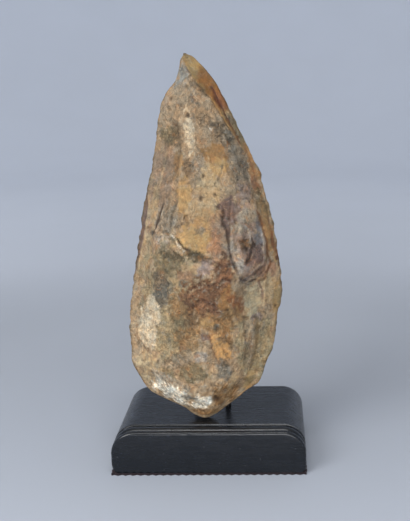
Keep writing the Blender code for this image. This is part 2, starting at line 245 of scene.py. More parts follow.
studio = {
    "floorColour": (0.447, 0.481, 0.545), "roughness": 0.9, "specular": 0.1,
    "flatRadius": 1.1, "bendRadius": 0.9, "wallTop": 1.9, "segments": 96, "bendSteps": 12,
    # painted light and shade on the paper: its tone at a radius, darker near the object and brighter out on
    # the bend and the wall; and a band of painted shade in a fold of it behind the object
    "paperLightTones": ((0.0, 0.85), (0.20, 0.95), (0.30, 0.93), (0.50, 1.09), (0.70, 1.24),
                   (0.95, 1.37), (1.25, 1.39), (1.60, 1.36), (1.95, 1.38)),
    "foldPlace": 0.12, "foldReach": 0.30, "foldShadeTone": 0.79,
    "clouds": (180, 2.0), "cloudTone": (0.3, 0.7, 0.99, 1.01),  # a faint unevenness
    "skyColour": (1.0, 0.985, 0.955), "skyStrength": 0.44, "lightAim": (0, 0, 0.1),
    "keyPlace": (-0.86, -0.88, 0.88), "keySize": 0.9, "keyPower": 14.2,
    "fillPlace": (0.16, -1.12, 0.17), "fillSize": 0.7, "fillPower": 9.0,
    "topPlace": (0.0, -0.38, 1.30), "topSize": 0.95, "topPower": 6.6, "topDepth": 0.16,
    "cameraPlace": (0.03394, -0.38871, 0.20262), "cameraDown": 13.97, "cameraRoll": -0.27,
    "focalPixels": 772.52, "shiftPixels": -69.1, "photoHeight": 521, "sensor": 36,
}


def sweepMesh():
    flat, bend, count = studio["flatRadius"], studio["bendRadius"], studio["segments"]
    profile = [(flat / 2, 0.0)]
    profile += [(flat + bend * sine, bend * (1 - cosine))
                for sine, cosine in quarterTurn(studio["bendSteps"])]
    profile.append((profile[-1][0], studio["wallTop"]))
    points = [(0.0, 0.0, 0.0)]
    for radius, height in profile:
        for k in range(count):
            turn = 2 * math.pi * k / count
            points.append((radius * math.cos(turn), radius * math.sin(turn), height))
    faces = [(0, 1 + k, 1 + (k + 1) % count) for k in range(count)]
    faces += [face[::-1] for face in ringFaces(len(profile), count, 1)]
    mesh = newMesh("sweep", points, faces)
    mesh.shade_smooth()
    return mesh


def paperMaterial():
    made, tree, shader, place = newMaterial("palePaper")
    spot = addNode(tree, "ShaderNodeSeparateXYZ", {0: place}).outputs
    squares = [calc(tree, "POWER", spot[k], 2.0) for k in (0, 1)]
    away = calc(tree, "SQRT", calc(tree, "ADD", *squares))
    # painted light and shade: the paper's tone by its distance from the middle
    far, top = studio["paperLightTones"][-1]
    tone = addNode(tree, "ShaderNodeFloatCurve", {"Value": calc(tree, "DIVIDE", away, far)})
    bend = tone.mapping.curves[0].points
    tone.mapping.clip_max_y = 1.0
    for radius, value in studio["paperLightTones"][len(bend):]:
        bend.new(radius / far, value / top)
    for point, (radius, value) in zip(bend, studio["paperLightTones"]):
        point.location = (radius / far, value / top)
    tone.mapping.update()
    # painted shade: a darker band across the paper behind the object
    paperFoldShade = calc(tree, "ABSOLUTE", calc(tree, "SUBTRACT", spot[1], studio["foldPlace"]))
    paperFoldShade = between(tree, paperFoldShade, 0.0, studio["foldReach"], studio["foldShadeTone"], 1.0)
    cloud = between(tree, noiseValue(tree, place, *studio["clouds"]), *studio["cloudTone"])
    tint = calc(tree, "MULTIPLY", calc(tree, "MULTIPLY", tone.outputs[0], top),
                calc(tree, "MULTIPLY", paperFoldShade, cloud))
    feed(tree, shader, {"Base Color": tinted(tree, (*studio["floorColour"], 1), tint),
                        "Roughness": studio["roughness"], "Specular IOR Level": studio["specular"]})
    return made


def makeLights():
    world = bpy.data.worlds.new("studio")
    bpy.context.scene.world = world
    world.use_nodes = True
    feed(world.node_tree, world.node_tree.nodes["Background"],
         {"Color": (*studio["skyColour"], 1), "Strength": studio["skyStrength"]})
    for name in ("key", "fill", "top"):
        light = bpy.data.lights.new(name, "AREA")
        light.shape = "ELLIPSE"
        light.size = studio[name + "Size"]
        light.size_y = studio.get(name + "Depth", light.size)
        light.energy = studio[name + "Power"]
        lamp = newObject(name, light)
        lamp.location = studio[name + "Place"]
        aim = Vector(studio["lightAim"]) - lamp.location
        lamp.rotation_euler = aim.to_track_quat("-Z", "Y").to_euler()


def makeCamera():
    lens = bpy.data.cameras.new("camera")
    lens.sensor_width = studio["sensor"]
    lens.lens = studio["focalPixels"] / studio["photoHeight"] * lens.sensor_width
    lens.shift_x = studio["shiftPixels"] / studio["photoHeight"]
    camera = newObject("camera", lens)
    tilt = Matrix.Rotation(math.radians(90 - studio["cameraDown"]), 4, "X")
    roll = Matrix.Rotation(math.radians(studio["cameraRoll"]), 4, "Z")
    camera.matrix_world = Matrix.Translation(studio["cameraPlace"]) @ tilt @ roll
    bpy.context.scene.camera = camera
    bpy.context.scene.view_settings.view_transform = "Standard"


sweep = newObject("sweep", sweepMesh())
sweep.data.materials.append(paperMaterial())
makeLights()
makeCamera()
print("studio made")


# The stone, in mm in its own frame: x right, z up its length, depth to the front

axe = {
    "length": 187.5, "width": 80.0, "thickness": 44.0, "leanDegrees": 6.0, "placeY": -12.0,
    "rows": 300, "frontColumns": 196, "backColumns": 116, "endDensity": 6.0, "endReach": 0.012,
    "rimCrowding": 0.38, "edgeWaver": 1.3, "leftWaves": 2.3, "rightWaves": 1.9,
    "faceFullness": 1.7,
    # nicks in both edges: depth, how steeply they fade inward, and waves up each side
    "nicks": {"depth": 0.35, "power": 14, "left": (19, 7, 1.1), "right": (17, 5, 0.7)},
    # share of the length, and the two edges or the crest as shares of the width or thickness
    "outline": (
        (0.000, -0.018, -0.018), (0.004, -0.084, 0.009), (0.030, -0.175, 0.082),
        (0.058, -0.310, 0.160), (0.080, -0.398, 0.206), (0.102, -0.436, 0.288),
        (0.130, -0.474, 0.338), (0.169, -0.514, 0.376), (0.217, -0.518, 0.426),
        (0.273, -0.527, 0.441), (0.363, -0.504, 0.479), (0.485, -0.453, 0.452),
        (0.553, -0.429, 0.426), (0.617, -0.402, 0.386), (0.691, -0.360, 0.341),
        (0.755, -0.335, 0.272), (0.808, -0.314, 0.214), (0.862, -0.291, 0.150),
        (0.892, -0.256, 0.116), (0.935, -0.184, 0.063), (0.975, -0.157, -0.018),
        (0.996, -0.151, -0.075), (1.000, -0.134, -0.134),
    ),
    "frontCrest": (
        (0.000, 0.000), (0.006, 0.100), (0.030, 0.215), (0.080, 0.310), (0.160, 0.395),
        (0.260, 0.455), (0.380, 0.480), (0.500, 0.450), (0.620, 0.380), (0.740, 0.295),
        (0.850, 0.205), (0.930, 0.140), (0.975, 0.090), (0.996, 0.035), (1.000, 0.000),
    ),
    "backCrest": (
        (0.000, 0.000), (0.006, 0.110), (0.030, 0.235), (0.080, 0.340), (0.160, 0.430),
        (0.260, 0.495), (0.360, 0.520), (0.480, 0.480), (0.600, 0.400), (0.720, 0.315),
        (0.840, 0.220), (0.930, 0.140), (0.975, 0.085), (0.996, 0.035), (1.000, 0.000),
    ),
    "crestPlace": ((0.0, 0.0), (0.3, 0.05), (0.5, -0.06), (0.65, -0.28), (0.8, -0.16), (1.0, 0.0)),
    # place across, place up, direction, half length, half width, bite
    "frontScars": (
        (-0.225, 0.925, 62, 0.060, 0.040, 0.40), (-0.270, 0.845, 40, 0.085, 0.054, 0.42),
        (-0.300, 0.765, 26, 0.090, 0.052, 0.38), (-0.335, 0.680, 36, 0.098, 0.056, 0.42),
        (-0.375, 0.595, 48, 0.098, 0.056, 0.40), (-0.450, 0.478, 82, 0.160, 0.050, 0.44),
        (-0.020, 0.600, 97, 0.180, 0.084, 0.18), (0.030, 0.792, 108, 0.115, 0.066, 0.22),
        (0.255, 0.700, 126, 0.110, 0.052, 0.32), (0.380, 0.600, 112, 0.090, 0.046, 0.40),
        (0.300, 0.355, 80, 0.095, 0.054, 0.28), (0.430, 0.350, 92, 0.100, 0.040, 0.42),
        (0.390, 0.215, 74, 0.145, 0.062, 0.46), (0.250, 0.080, 42, 0.095, 0.064, 0.38),
        (0.085, 0.195, 74, 0.062, 0.042, 0.10), (-0.490, 0.320, 94, 0.090, 0.046, 0.38),
        (-0.470, 0.195, 104, 0.080, 0.048, 0.40), (-0.360, 0.090, 134, 0.090, 0.054, 0.34),
        (-0.140, 0.042, 158, 0.085, 0.050, 0.28),
    ),
    "backFlakes": {"perEdge": 7, "first": 0.05, "last": 0.97, "inset": 0.56, "reach": 0.165,
                   "width": 0.118, "bite": 0.36, "shrink": 0.40, "slant": 60, "slantSpread": 22},
    # inner border of the smooth facet of the tip, as (x, z)
    "facetRidge": ((-12.6, 187.5), (-11.1, 184.8), (-8.4, 179.7), (-5.3, 174.7), (-1.5, 169.9),
                   (2.7, 165.2), (5.5, 160.8), (8.4, 156.5), (10.8, 152.1), (13.2, 148.6),
                   (16.1, 143.7), (19.5, 138.0)),
    # how far the rim lies inside the outline, in mm: share of the length, left and right
    "trims": ((0.00, 0.0, 0.0), (0.03, 0.1, -1.3), (0.06, 0.1, -2.0), (0.085, 0.2, -3.4),
              (0.105, 0.2, -2.4), (0.14, 0.3, -0.4), (0.30, 0.7, 0.4), (0.50, 0.8, 0.5),
              (0.78, 0.8, 0.9), (0.88, 0.7, 0.7), (0.95, 0.4, 1.5), (0.985, 0.0, 1.0),
              (1.00, 0.0, 0.0)),
    "facetHollow": 0.16, "facetEdge": 0.5, "facetSoft": 0.3, "facetProud": 0.6, "ridgeInset": 0.4,
    "facetThin": 0.06, "facetBorder": (-0.6, 0.5),
    # the beak of the tip
    "tipReach": (0.962, 0.997), "tipDrop": (2.4, 0.8), "tipX": -8.9, "tipBlunt": 0.2,
    "rimNoise": 0.60, "rimLumps": 3.2, "rimShade": 0.05,
    # how far in from the rim the relief, the painted shade and highlight of hollows and ridges, and the
    # large forms reach full height
    "reliefInset": 0.10, "hollowInset": 0.06, "formInset": 0.25,
    "knot": {"place": (0.262, 0.515), "half": (0.122, 0.056), "tiltDegrees": 98,
             "rise": 2.6, "folds": 1.6, "foldDepth": 0.6, "sway": 0.22, "foldSkew": 0.35},
    "step": {"start": (-0.216, 0.519), "end": (0.060, 0.448), "bow": 0.012,
             "rise": 1.5, "sharp": 0.8, "fade": 9.0},
    # small flakes along both edges, with the ranges that they vary in
    "retouch": {"perEdge": 24, "first": 0.04, "run": 0.93, "size": 6.0, "bite": 0.36,
                "frontSeed": 7, "backSeed": 57, "places": (0.1, 0.9), "insets": (0.5, 3.0),
                "sizes": (0.35, 1.5), "shrink": 0.35, "slants": (40, 110),
                "slenderness": (1.0, 1.7), "bites": (0.3, 1)},
    "grain": {"floor": -0.12, "large": 3.6, "largeDepth": 0.48, "small": 1.3, "smallDepth": 0.26,
              "smoothDepth": 0.09, "ripple": 14.0, "rippleDepth": 0.07, "belowFloor": 0.3},
    # how borders drift off their drawn course, and how soft they are
    "drift": {"lumps": 4.0, "depth": 0.55, "zone": 1.6, "facet": 0.8, "strip": 0.5, "plane": 0.8,
              "line": 0.7, "pit": 0.6},
    "zoneEdge": 0.36, "zoneWaves": ((0.75, 6.0, 3.1), (0.80, 2.0, 8.4)),  # depth, lumps, shift
    # the dark strip, and the pale ridge beside it between two heights
    "strip": {"soft": 0.25, "ends": 0.6, "cover": 0.9, "depth": 0.5, "ridgeWidth": 0.7,
              "ridgePlace": 0.91, "ridgeCover": 0.6, "ridgeHeight": 0.3, "ridgeLow": (70, 80),
              "ridgeHigh": (118, 112)},
    "plane": {"border": (-0.7, 1.5), "fade": 7.0, "lowEnd": (-8, 4), "highEnd": (6, -6),
              "fleckShare": 0.5},
    "line": {"taper": 0.14, "lumps": 3.0, "unevenness": 1.3, "widths": (0.35, 1.7)},
    # crumbly chalk: below a slanting height, and at the left below another
    "crumbs": {"lumps": 2.6, "depth": 0.55, "floor": -0.25, "butt": (40, 22), "slant": 0.25,
               "leftSide": (-22, -28), "leftTop": (64, 56)},
    "pitDarkening": 0.5, "pitTall": 1.25,
    "backPits": {"count": 9, "spread": 24, "first": 18, "pitch": 17, "radius": 0.8, "depth": 0.5,
                 "hollowDarkening": 0.85},
    "hollowReach": 0.22, "hollowCells": 3, "pigmentGain": (0.84, 0.83, 0.79),
    # painted light: the stone is lighter towards the butt and darker towards the tip, as the light falls on
    # it: height and tone
    "paintedLightByHeight": ((0, 1.40), (16, 1.28), (34, 1.12), (50, 1.05), (70, 0.97), (100, 0.89), (188, 0.90)),
}


def throughStations(stations, places):
    # smooth curve through (place, value) stations, with no overshoot between two of them
    x, y = (np.array(column, float) for column in zip(*stations))
    step = np.diff(x)
    rise = np.diff(y) / step
    sameWay = rise[:-1] * rise[1:] > 0
    total = np.where(sameWay, rise[:-1] + rise[1:], 1.0)
    inner = np.where(sameWay, 2 * rise[:-1] * rise[1:] / total, 0.0)
    slope = np.concatenate(([rise[0]], inner, [rise[-1]]))
    k = np.clip(np.searchsorted(x, places, side="right") - 1, 0, len(step) - 1)
    t = (places - x[k]) / step[k]
    start = (1 + 2 * t) * (1 - t) ** 2 * y[k] + t * (1 - t) ** 2 * step[k] * slope[k]
    end = t**2 * (3 - 2 * t) * y[k + 1] + t**2 * (t - 1) * step[k] * slope[k + 1]
    return start + end


def axeEdges(share):
    left, right = (throughStations([(row[0], row[side]) for row in axe["outline"]], share)
                   for side in (1, 2))
    places, leftTrim, rightTrim = zip(*axe["trims"])
    return (left * axe["width"] + np.interp(share, places, leftTrim),
            right * axe["width"] - np.interp(share, places, rightTrim))


def edgeAt(side, up):
    left, right = axeEdges(np.array([up]))
    return (left if side < 0 else right)[0]


def awayFromEnds(share):
    return 4 * share * (1 - share)


def edgeNicks(across, share):
    nicks, turn = axe["nicks"], 2 * math.pi * share
    (leftFast, leftSlow, leftShift), (rightFast, rightSlow, rightShift) = nicks["left"], nicks["right"]
    left = np.sin(leftFast * turn) * np.cos(leftSlow * turn + leftShift)
    right = np.sin(rightFast * turn + rightShift) * np.cos(rightSlow * turn)
    atEdge = np.abs(across) ** nicks["power"] * awayFromEnds(share)
    return nicks["depth"] * atEdge * np.where(across < 0, left, right)


def turned(x, z, middle, degrees):
    # how far along and aside of a direction
    turn = math.radians(degrees)
    dx, dz = x - middle[0], z - middle[1]
    return dx * math.cos(turn) + dz * math.sin(turn), dz * math.cos(turn) - dx * math.sin(turn)


def insideEllipse(x, z, middle, degrees, halfLong, halfWide):
    # 1 in the middle, 0 on the ellipse, and below 0 outside it
    along, aside = turned(x, z, middle, degrees)
    return 1 - (along / halfLong) ** 2 - (aside / halfWide) ** 2


def deepestScar(x, z, scars):
    cut = np.zeros_like(x)
    for across, up, turn, halfLong, halfWide, bite in scars:
        middle = (across * axe["width"], up * axe["length"])
        inside = insideEllipse(x, z, middle, turn, halfLong * axe["length"],
                               halfWide * axe["length"])
        cut = np.maximum(cut, bite * np.clip(inside, 0, 1))
    return cut


def backScars():
    # the sines only vary the flakes
    flakes, scars = axe["backFlakes"], []
    for side in (-1, 1):
        for number in range(flakes["perEdge"]):
            turn = 2.4 * number + side
            spread = (number + 0.25 * side + 0.25 + 0.2 * math.sin(turn)) / flakes["perEdge"]
            up = flakes["first"] + (flakes["last"] - flakes["first"]) * spread
            size = 1 - flakes["shrink"] * up + 0.14 * math.sin(1.7 * turn)
            slant = flakes["slant"] + flakes["slantSpread"] * math.sin(1.9 * turn)
            bite = flakes["bite"] * (0.55 + 0.6 * size) * (1 + 0.2 * math.cos(turn))
            scars.append((edgeAt(side, up) / axe["width"] * flakes["inset"], up, 90 + side * slant,
                          flakes["reach"] * size, flakes["width"] * size, bite))
    return scars


def retouchScars(seed):
    # small flakes pressed off along both edges
    rows, draw, scars = axe["retouch"], np.random.default_rng(seed), []
    for side in (-1, 1):
        for number in range(rows["perEdge"]):
            spread = (number + draw.uniform(*rows["places"])) / rows["perEdge"]
            up = rows["first"] + rows["run"] * spread
            edge = edgeAt(side, up) - side * draw.uniform(*rows["insets"])
            size = rows["size"] * draw.uniform(*rows["sizes"]) * (1 - rows["shrink"] * up)
            bite = rows["bite"] * min(1, size / rows["size"])
            size /= axe["length"]
            scars.append((edge / axe["width"], up, 90 - side * draw.uniform(*rows["slants"]),
                          size * draw.uniform(*rows["slenderness"]), size,
                          bite * draw.uniform(*rows["bites"])))
    return scars


def faceHeight(across, crestPlace):
    reach = np.where(across > crestPlace, 1 - crestPlace, 1 + crestPlace)
    return 1 - (np.abs(across - crestPlace) / reach) ** axe["faceFullness"]


def tipFacet(x, z, left, right, crestPlace, crest):
    # its height, a hollowed plane from the ridge to the right edge, and where it lies
    ridgeX, ridgeZ = zip(*axe["facetRidge"][::-1])
    ridge = np.minimum(np.interp(z, ridgeZ, ridgeX), right - axe["ridgeInset"])
    atRidge = faceHeight(2 * (ridge - left) / (right - left) - 1, crestPlace) * crest
    part = np.clip((right - x) / (right - ridge), 0, 1)
    soft = axe["facetSoft"]
    lies = softStep(-soft, soft, x - ridge) * softStep(ridgeZ[0], ridgeZ[1], z)
    plane = axe["facetEdge"] * (1 - part) + atRidge * part
    return plane * (1 - axe["facetHollow"] * 4 * part * (1 - part)), lies


def knotRise(x, z):
    # a swelling with folds round its middle
    knot = axe["knot"]
    middle = (knot["place"][0] * axe["width"], knot["place"][1] * axe["length"])
    along, aside = turned(x, z, middle, knot["tiltDegrees"])
    along = along / (knot["half"][0] * axe["length"])
    aside = aside / (knot["half"][1] * axe["length"]) + knot["sway"] * np.sin(2.6 * along + 0.8)
    radius = np.hypot(along, aside)
    inside = np.clip(1 - radius**2, 0, 1)
    folds = np.cos(2 * math.pi * (knot["folds"] * radius + knot["foldSkew"] * aside))
    return knot["rise"] * np.sqrt(inside) + knot["foldDepth"] * folds * softStep(0, 0.4, inside)


def brokenStep(x, z):
    step = axe["step"]
    start = np.array(step["start"]) * (axe["width"], axe["length"])
    run = np.array(step["end"]) * (axe["width"], axe["length"]) - start
    length = math.hypot(*run)
    along = ((x - start[0]) * run[0] + (z - start[1]) * run[1]) / length
    below = ((x - start[0]) * run[1] - (z - start[1]) * run[0]) / length
    below = below - step["bow"] * axe["length"] * np.sin(math.pi * np.clip(along / length, 0, 1))
    rise = softStep(0, step["sharp"], below) * (1 - softStep(0, 3 * step["fade"], below))
    ends = softStep(-step["fade"], 0, along) * (1 - softStep(length, length + step["fade"], along))
    return step["rise"] * rise * ends


def alongLine(x, z, points, width):
    # 1 on the line, fading to both sides and towards its two ends
    nearest = np.full(x.shape, np.inf)
    place = np.zeros_like(x)
    for number, ((x0, z0), (x1, z1)) in enumerate(zip(points, points[1:])):
        dx, dz = x1 - x0, z1 - z0
        along = np.clip(((x - x0) * dx + (z - z0) * dz) / (dx * dx + dz * dz), 0, 1)
        away = np.hypot(x - x0 - along * dx, z - z0 - along * dz)
        place = np.where(away < nearest, (number + along) / (len(points) - 1), place)
        nearest = np.minimum(nearest, away)
    taper = axe["line"]["taper"]
    return np.exp(-((nearest / width) ** 2)) * softStep(0, taper, place) * softStep(0, taper, 1 - place)


# Lines on the front: points, half width, height (below 0 a groove), pigment, strength
frontLines = {
    "tipRidgeShade": (axe["facetRidge"][1:-1], 0.55, -0.15, "oliveDark", 0.75),
    "redLine": (((2.2, 172.0), (3.7, 170.1), (6.0, 165.8), (8.4, 160.4), (11.3, 154.5),
                 (13.7, 149.6), (16.1, 144.7), (18.0, 141.0)), 0.7, -0.3, "redDark", 1.0),
    "goldRidge": (((1.6, 167.6), (3.6, 164.8), (6.3, 160.5), (9.1, 156.1), (11.5, 151.8), (13.8, 148.3),
                   (16.6, 143.4)), 0.75, 0.3, "orange", 0.85),
    "leftSeam": (((-20.9, 115.5), (-22.0, 110.8), (-23.0, 107.3), (-24.0, 104.4), (-25.1, 101.4),
                  (-26.9, 98.7), (-28.2, 96.6)), 0.6, -0.5, "darkBrown", 0.85),
    # a groove at the foot of the step, painted dark brown as its shadow
    "stepCreviceShadow": (((-14.9, 97.9), (-13.5, 96.5), (-12.5, 95.3), (-11.3, 93.8), (-9.9, 92.2),
                     (-8.1, 91.2), (-6.1, 90.5)), 0.5, -0.7, "darkBrown", 1.0),
    "stepShade": (((-9.0, 90.2), (-6.1, 89.6), (-3.3, 88.7), (-0.7, 87.8), (1.4, 87.3),
                   (4.5, 86.4)), 1.0, -0.35, "oliveDark", 0.85),
    # a raised lip on the step, painted white as its highlight
    "stepLipHighlight": (((-17.6, 98.6), (-16.6, 98.4), (-15.2, 97.4), (-14.4, 96.2), (-13.6, 94.4),
                 (-12.1, 93.0), (-10.0, 91.0), (-8.6, 90.4)), 0.42, 0.3, "white", 0.8),
    "curlUpper": (((-10.5, 105.4), (-10.3, 106.6), (-9.4, 107.7), (-7.8, 108.3)),
                  0.45, -0.3, "darkBrown", 0.85),
    "curlLower": (((-14.4, 101.6), (-12.0, 103.0), (-10.2, 104.2)), 0.45, -0.25, "brown", 0.8),
    "crestShade": (((-13.6, 155.4), (-13.1, 149.6), (-12.0, 142.3), (-11.5, 136.4)),
                   0.9, -0.2, "oliveDark", 0.5),
    "knotLeft": (((10.3, 110.4), (8.6, 105.6), (10.7, 99.8), (11.5, 94.5), (12.5, 88.8),
                  (14.0, 83.6), (17.2, 76.7)), 0.85, -0.8, "plumDark", 0.9),
    "knotLow": (((16.4, 78.2), (17.5, 76.2), (19.9, 74.9), (22.2, 74.5), (24.8, 75.2)),
                0.7, -0.6, "plumDark", 0.85),
    # a raised ridge down the knot, painted pale as its highlight
    "knotSpineHighlight": (((20.2, 104.0), (20.9, 101.6), (21.8, 98.1), (23.2, 93.0)),
                  0.75, 0.7, "greyPale", 0.9),
    "knotFlank": (((12.6, 98.0), (13.6, 92.4), (14.6, 87.3), (16.7, 81.7), (18.8, 77.0)),
                  1.0, 0.6, "greyPale", 0.55),
    "knotRight": (((27.9, 101.0), (28.6, 96.5), (29.0, 92.5), (29.3, 88.0), (28.6, 83.8),
                   (26.2, 81.9), (23.0, 80.0), (20.6, 77.4)), 0.7, 0.7, "greyPale", 0.6),
    "knotFold": (((25.4, 84.2), (24.0, 82.9), (22.2, 80.6), (20.4, 78.4)),
                 0.65, 0.5, "pinkSand", 0.75),
    "rimFold": (((30.2, 77.8), (29.0, 76.2), (27.0, 75.7), (24.6, 75.9)),
                0.6, 0.45, "creamOrange", 0.6),
    "rimGroove": (((30.4, 76.6), (28.3, 75.0), (26.0, 74.6), (23.8, 75.0)),
                  0.5, -0.4, "rust", 0.8),
    "foldShade": (((22.9, 97.6), (23.7, 93.1), (22.3, 88.2), (21.0, 84.0)),
                  0.8, -0.6, "plumDark", 0.8),
    "foldLow": (((28.6, 82.0), (26.1, 80.2), (23.8, 77.4)), 0.6, -0.45, "plumDark", 0.75),
    "bandLine": (((24.8, 111.2), (25.5, 109.4), (27.0, 105.9), (28.8, 99.9), (30.1, 93.9),
                  (30.6, 88.2), (31.9, 83.4), (30.7, 78.8), (28.6, 75.6)),
                 0.65, -0.55, "rust", 0.85),
    "edgeLine": (((30.2, 109.0), (31.6, 103.5), (33.0, 96.9), (34.8, 90.7), (35.8, 84.0)),
                 0.6, -0.25, "rust", 0.7),
    "lowDiagonal": (((26.0, 74.4), (26.6, 72.6), (27.7, 69.3), (28.4, 64.0)),
                    0.55, -0.3, "pinkBrown", 0.8),
    "swirlUpper": (((4.6, 85.6), (7.5, 83.2), (11.0, 83.2), (13.0, 85.2)),
                   0.6, -0.3, "redDark", 0.5),
    "swirlLower": (((6.4, 74.8), (7.0, 77.0), (9.2, 78.6), (11.8, 78.4), (14.1, 76.8)),
                   0.6, 0.35, "pinkOrange", 0.6),
    "swirlShade": (((7.6, 75.0), (9.2, 76.6), (11.6, 76.4), (13.6, 74.8)),
                   0.55, -0.35, "redDark", 0.6),
    "fanLeft": (((1.0, 50.0), (1.8, 47.0), (2.9, 41.2), (4.6, 36.0), (6.6, 31.6)),
                0.6, -0.3, "rust", 0.6),
    "fanInner": (((5.7, 45.6), (7.6, 41.1), (10.2, 36.5), (11.6, 33.4)), 0.45, -0.12, "ochreBrown", 0.5),
    "facetLeft": (((17.4, 57.0), (18.6, 52.0), (19.0, 45.3), (18.9, 37.6), (17.5, 29.5)),
                  0.8, -0.3, "brown", 0.5),
    "facetRight": (((25.3, 56.4), (25.1, 52.7), (24.9, 42.7), (23.3, 32.9), (20.6, 24.4)),
                   1.3, -0.4, "oliveBrown", 0.8),
    "facetCrest": (((22.6, 54.4), (22.7, 46.4), (22.0, 36.4), (19.6, 27.0)),
                   1.3, 0.3, "greyCream", 0.45),
    "streakLeft": (((10.9, 64.2), (12.2, 60.7), (13.9, 56.6), (15.8, 51.8)),
                   0.55, 0.25, "creamOrange", 0.8),
    "streakRight": (((14.6, 63.7), (15.6, 60.7), (16.9, 57.1), (17.8, 52.9)),
                    0.55, 0.25, "creamOrange", 0.7),
    "rightCrack": (((17.1, 56.6), (19.3, 55.9), (21.8, 55.4), (25.6, 55.2)),
                   0.5, -0.25, "brown", 0.6),
    "upperSeam": (((18.6, 144.2), (20.0, 140.0), (22.0, 134.7), (24.4, 127.2), (25.8, 120.6)),
                  0.6, -0.3, "rust", 0.7),
    "rimSeam": (((25.6, 121.6), (26.6, 118.6), (28.2, 115.1), (30.3, 110.5), (31.6, 104.5)),
                0.6, -0.25, "oliveDark", 0.7),
    "speckSeam": (((4.1, 158.4), (7.4, 151.0), (12.2, 142.2), (16.1, 134.7), (20.0, 126.8),
                   (22.4, 119.7)), 1.5, -0.35, "slate", 0.45),
    "creamRidge": (((-18.9, 141.9), (-20.6, 134.0), (-22.4, 126.1), (-24.4, 118.5), (-26.9, 110.5)),
                   0.8, 0.3, "cream", 0.5),
    "shoulderSeam": (((-19.6, 151.6), (-16.0, 152.6), (-12.8, 151.8)), 0.6, -0.3, "brown", 0.6),
    "tipSeam": (((-9.4, 172.6), (-6.8, 168.4), (-5.0, 163.6), (-1.4, 160.4)), 0.6, -0.3, "slate", 0.6),
    "whiteFleck": (((2.4, 150.4), (3.6, 149.4)), 0.8, 0.3, "white", 0.9),
    "darkBand": (((3.0, 153.0), (7.6, 150.6), (10.4, 146.2), (14.6, 142.0)), 1.1, -0.2, "oliveDark", 0.5),
    "centreSeam": (((3.0, 121.0), (6.0, 124.4), (8.0, 129.0), (8.6, 134.0)), 0.6, -0.25, "greyBrown", 0.5),
    "orangeStreak": (((-10.4, 112.0), (-9.0, 106.0), (-8.0, 101.0)), 1.1, -0.15, "orange", 0.7),
    "redStain": (((6.6, 109.0), (3.8, 105.4), (3.0, 101.0), (4.6, 96.0), (6.4, 90.0)), 1.5, -0.1,
                 "pinkOrange", 0.6),
    "plumSeam": (((6.2, 60.0), (3.6, 64.6), (-0.6, 67.0), (-5.0, 66.0)), 0.8, -0.35, "redDark", 0.45),
    "umberSeam": (((-7.0, 72.6), (-2.6, 74.6), (2.8, 73.8), (6.6, 76.0)), 0.7, -0.3, "redDark", 0.4),
    "mossSeam": (((-20.4, 62.0), (-17.0, 57.6), (-15.0, 51.0), (-13.4, 44.0)), 1.1, -0.3, "oliveDark", 0.4),
    "leftCrest": (((-11.4, 139.0), (-11.9, 131.0), (-12.4, 122.0), (-13.4, 112.0), (-15.4, 106.0)),
                  0.8, 0.3, "creamOrange", 0.4),
}
# Planes that drop away from a crest, with painted shade laid on them: side, crest line, from and to height,
# drop, pigment, strength
shadedPlanes = (
    (-1, ((-17.5, 98.0), (-15.4, 106.0), (-13.4, 112.0), (-12.4, 122.0), (-11.9, 131.0),
          (-11.4, 139.0), (-12.6, 150.0), (-14.0, 160.0)), 104, 154, 1.2, "greyBrown", 0.45),
    (1, ((25.6, 110.0), (22.0, 120.0), (18.5, 129.0), (13.5, 139.0), (8.0, 150.0), (2.5, 160.0)),
     112, 156, 0.7, "slate", 0.30),
    (1, ((15.0, 20.0), (18.0, 30.0), (19.2, 40.0), (18.8, 52.0), (17.5, 60.0)),
     26, 54, 0.9, "sandOlive", 0.3),
)
# The dark strip along the left rim: height up the axe and width
leftStrip = ((74.0, 0.0), (80.0, 0.9), (90.0, 1.5), (97.0, 2.3), (112.0, 2.3), (117.0, 0.9),
             (121.0, 0.0))
# Colours of the facet at the tip: place, half sizes, direction, strength
facetZones = (
    ("oliveBrown", -9.6, 185.4, 2.6, 1.6, 130, 0.5), ("honeyLight", -2.2, 179.0, 6.5, 1.8, 128, 0.9),
    ("honeyOrange", 2.6, 172.0, 9.0, 4.4, 122, 1), ("rust", 8.0, 163.6, 5.2, 2.6, 120, 0.95),
    ("redDark", 6.4, 163.2, 3.2, 1.0, 120, 0.7), ("olive", 15.0, 150.0, 9.0, 2.2, 116, 0.95),
    ("greyBrown", 12.6, 156.2, 3.6, 1.6, 118, 0.6),
)
# Pits on the front: place, radius, depth
frontPits = (
    (-7.9, 156.3, 1.0, 0.9), (-0.8, 127.1, 0.8, 0.5), (-1.9, 116.4, 0.9, 0.5),
    (4.9, 117.8, 0.8, 0.35), (20.1, 91.3, 1.0, 0.9), (17.0, 95.2, 0.8, 0.7), (18.8, 95.2, 0.8, 0.6),
    (4.2, 13.3, 1.5, 1.2), (-29.4, 26.5, 0.8, 0.4), (-25.4, 33.5, 0.6, 0.3),
    (-16.8, 164.9, 0.8, 0.4), (5.0, 52.3, 1.3, 0.7), (20.6, 85.0, 0.9, 0.8), (34.6, 60.0, 0.6, 0.4),
    (8.9, 109.5, 0.9, 0.6), (11.4, 106.1, 0.8, 0.6), (6.6, 111.5, 0.7, 0.5),
)

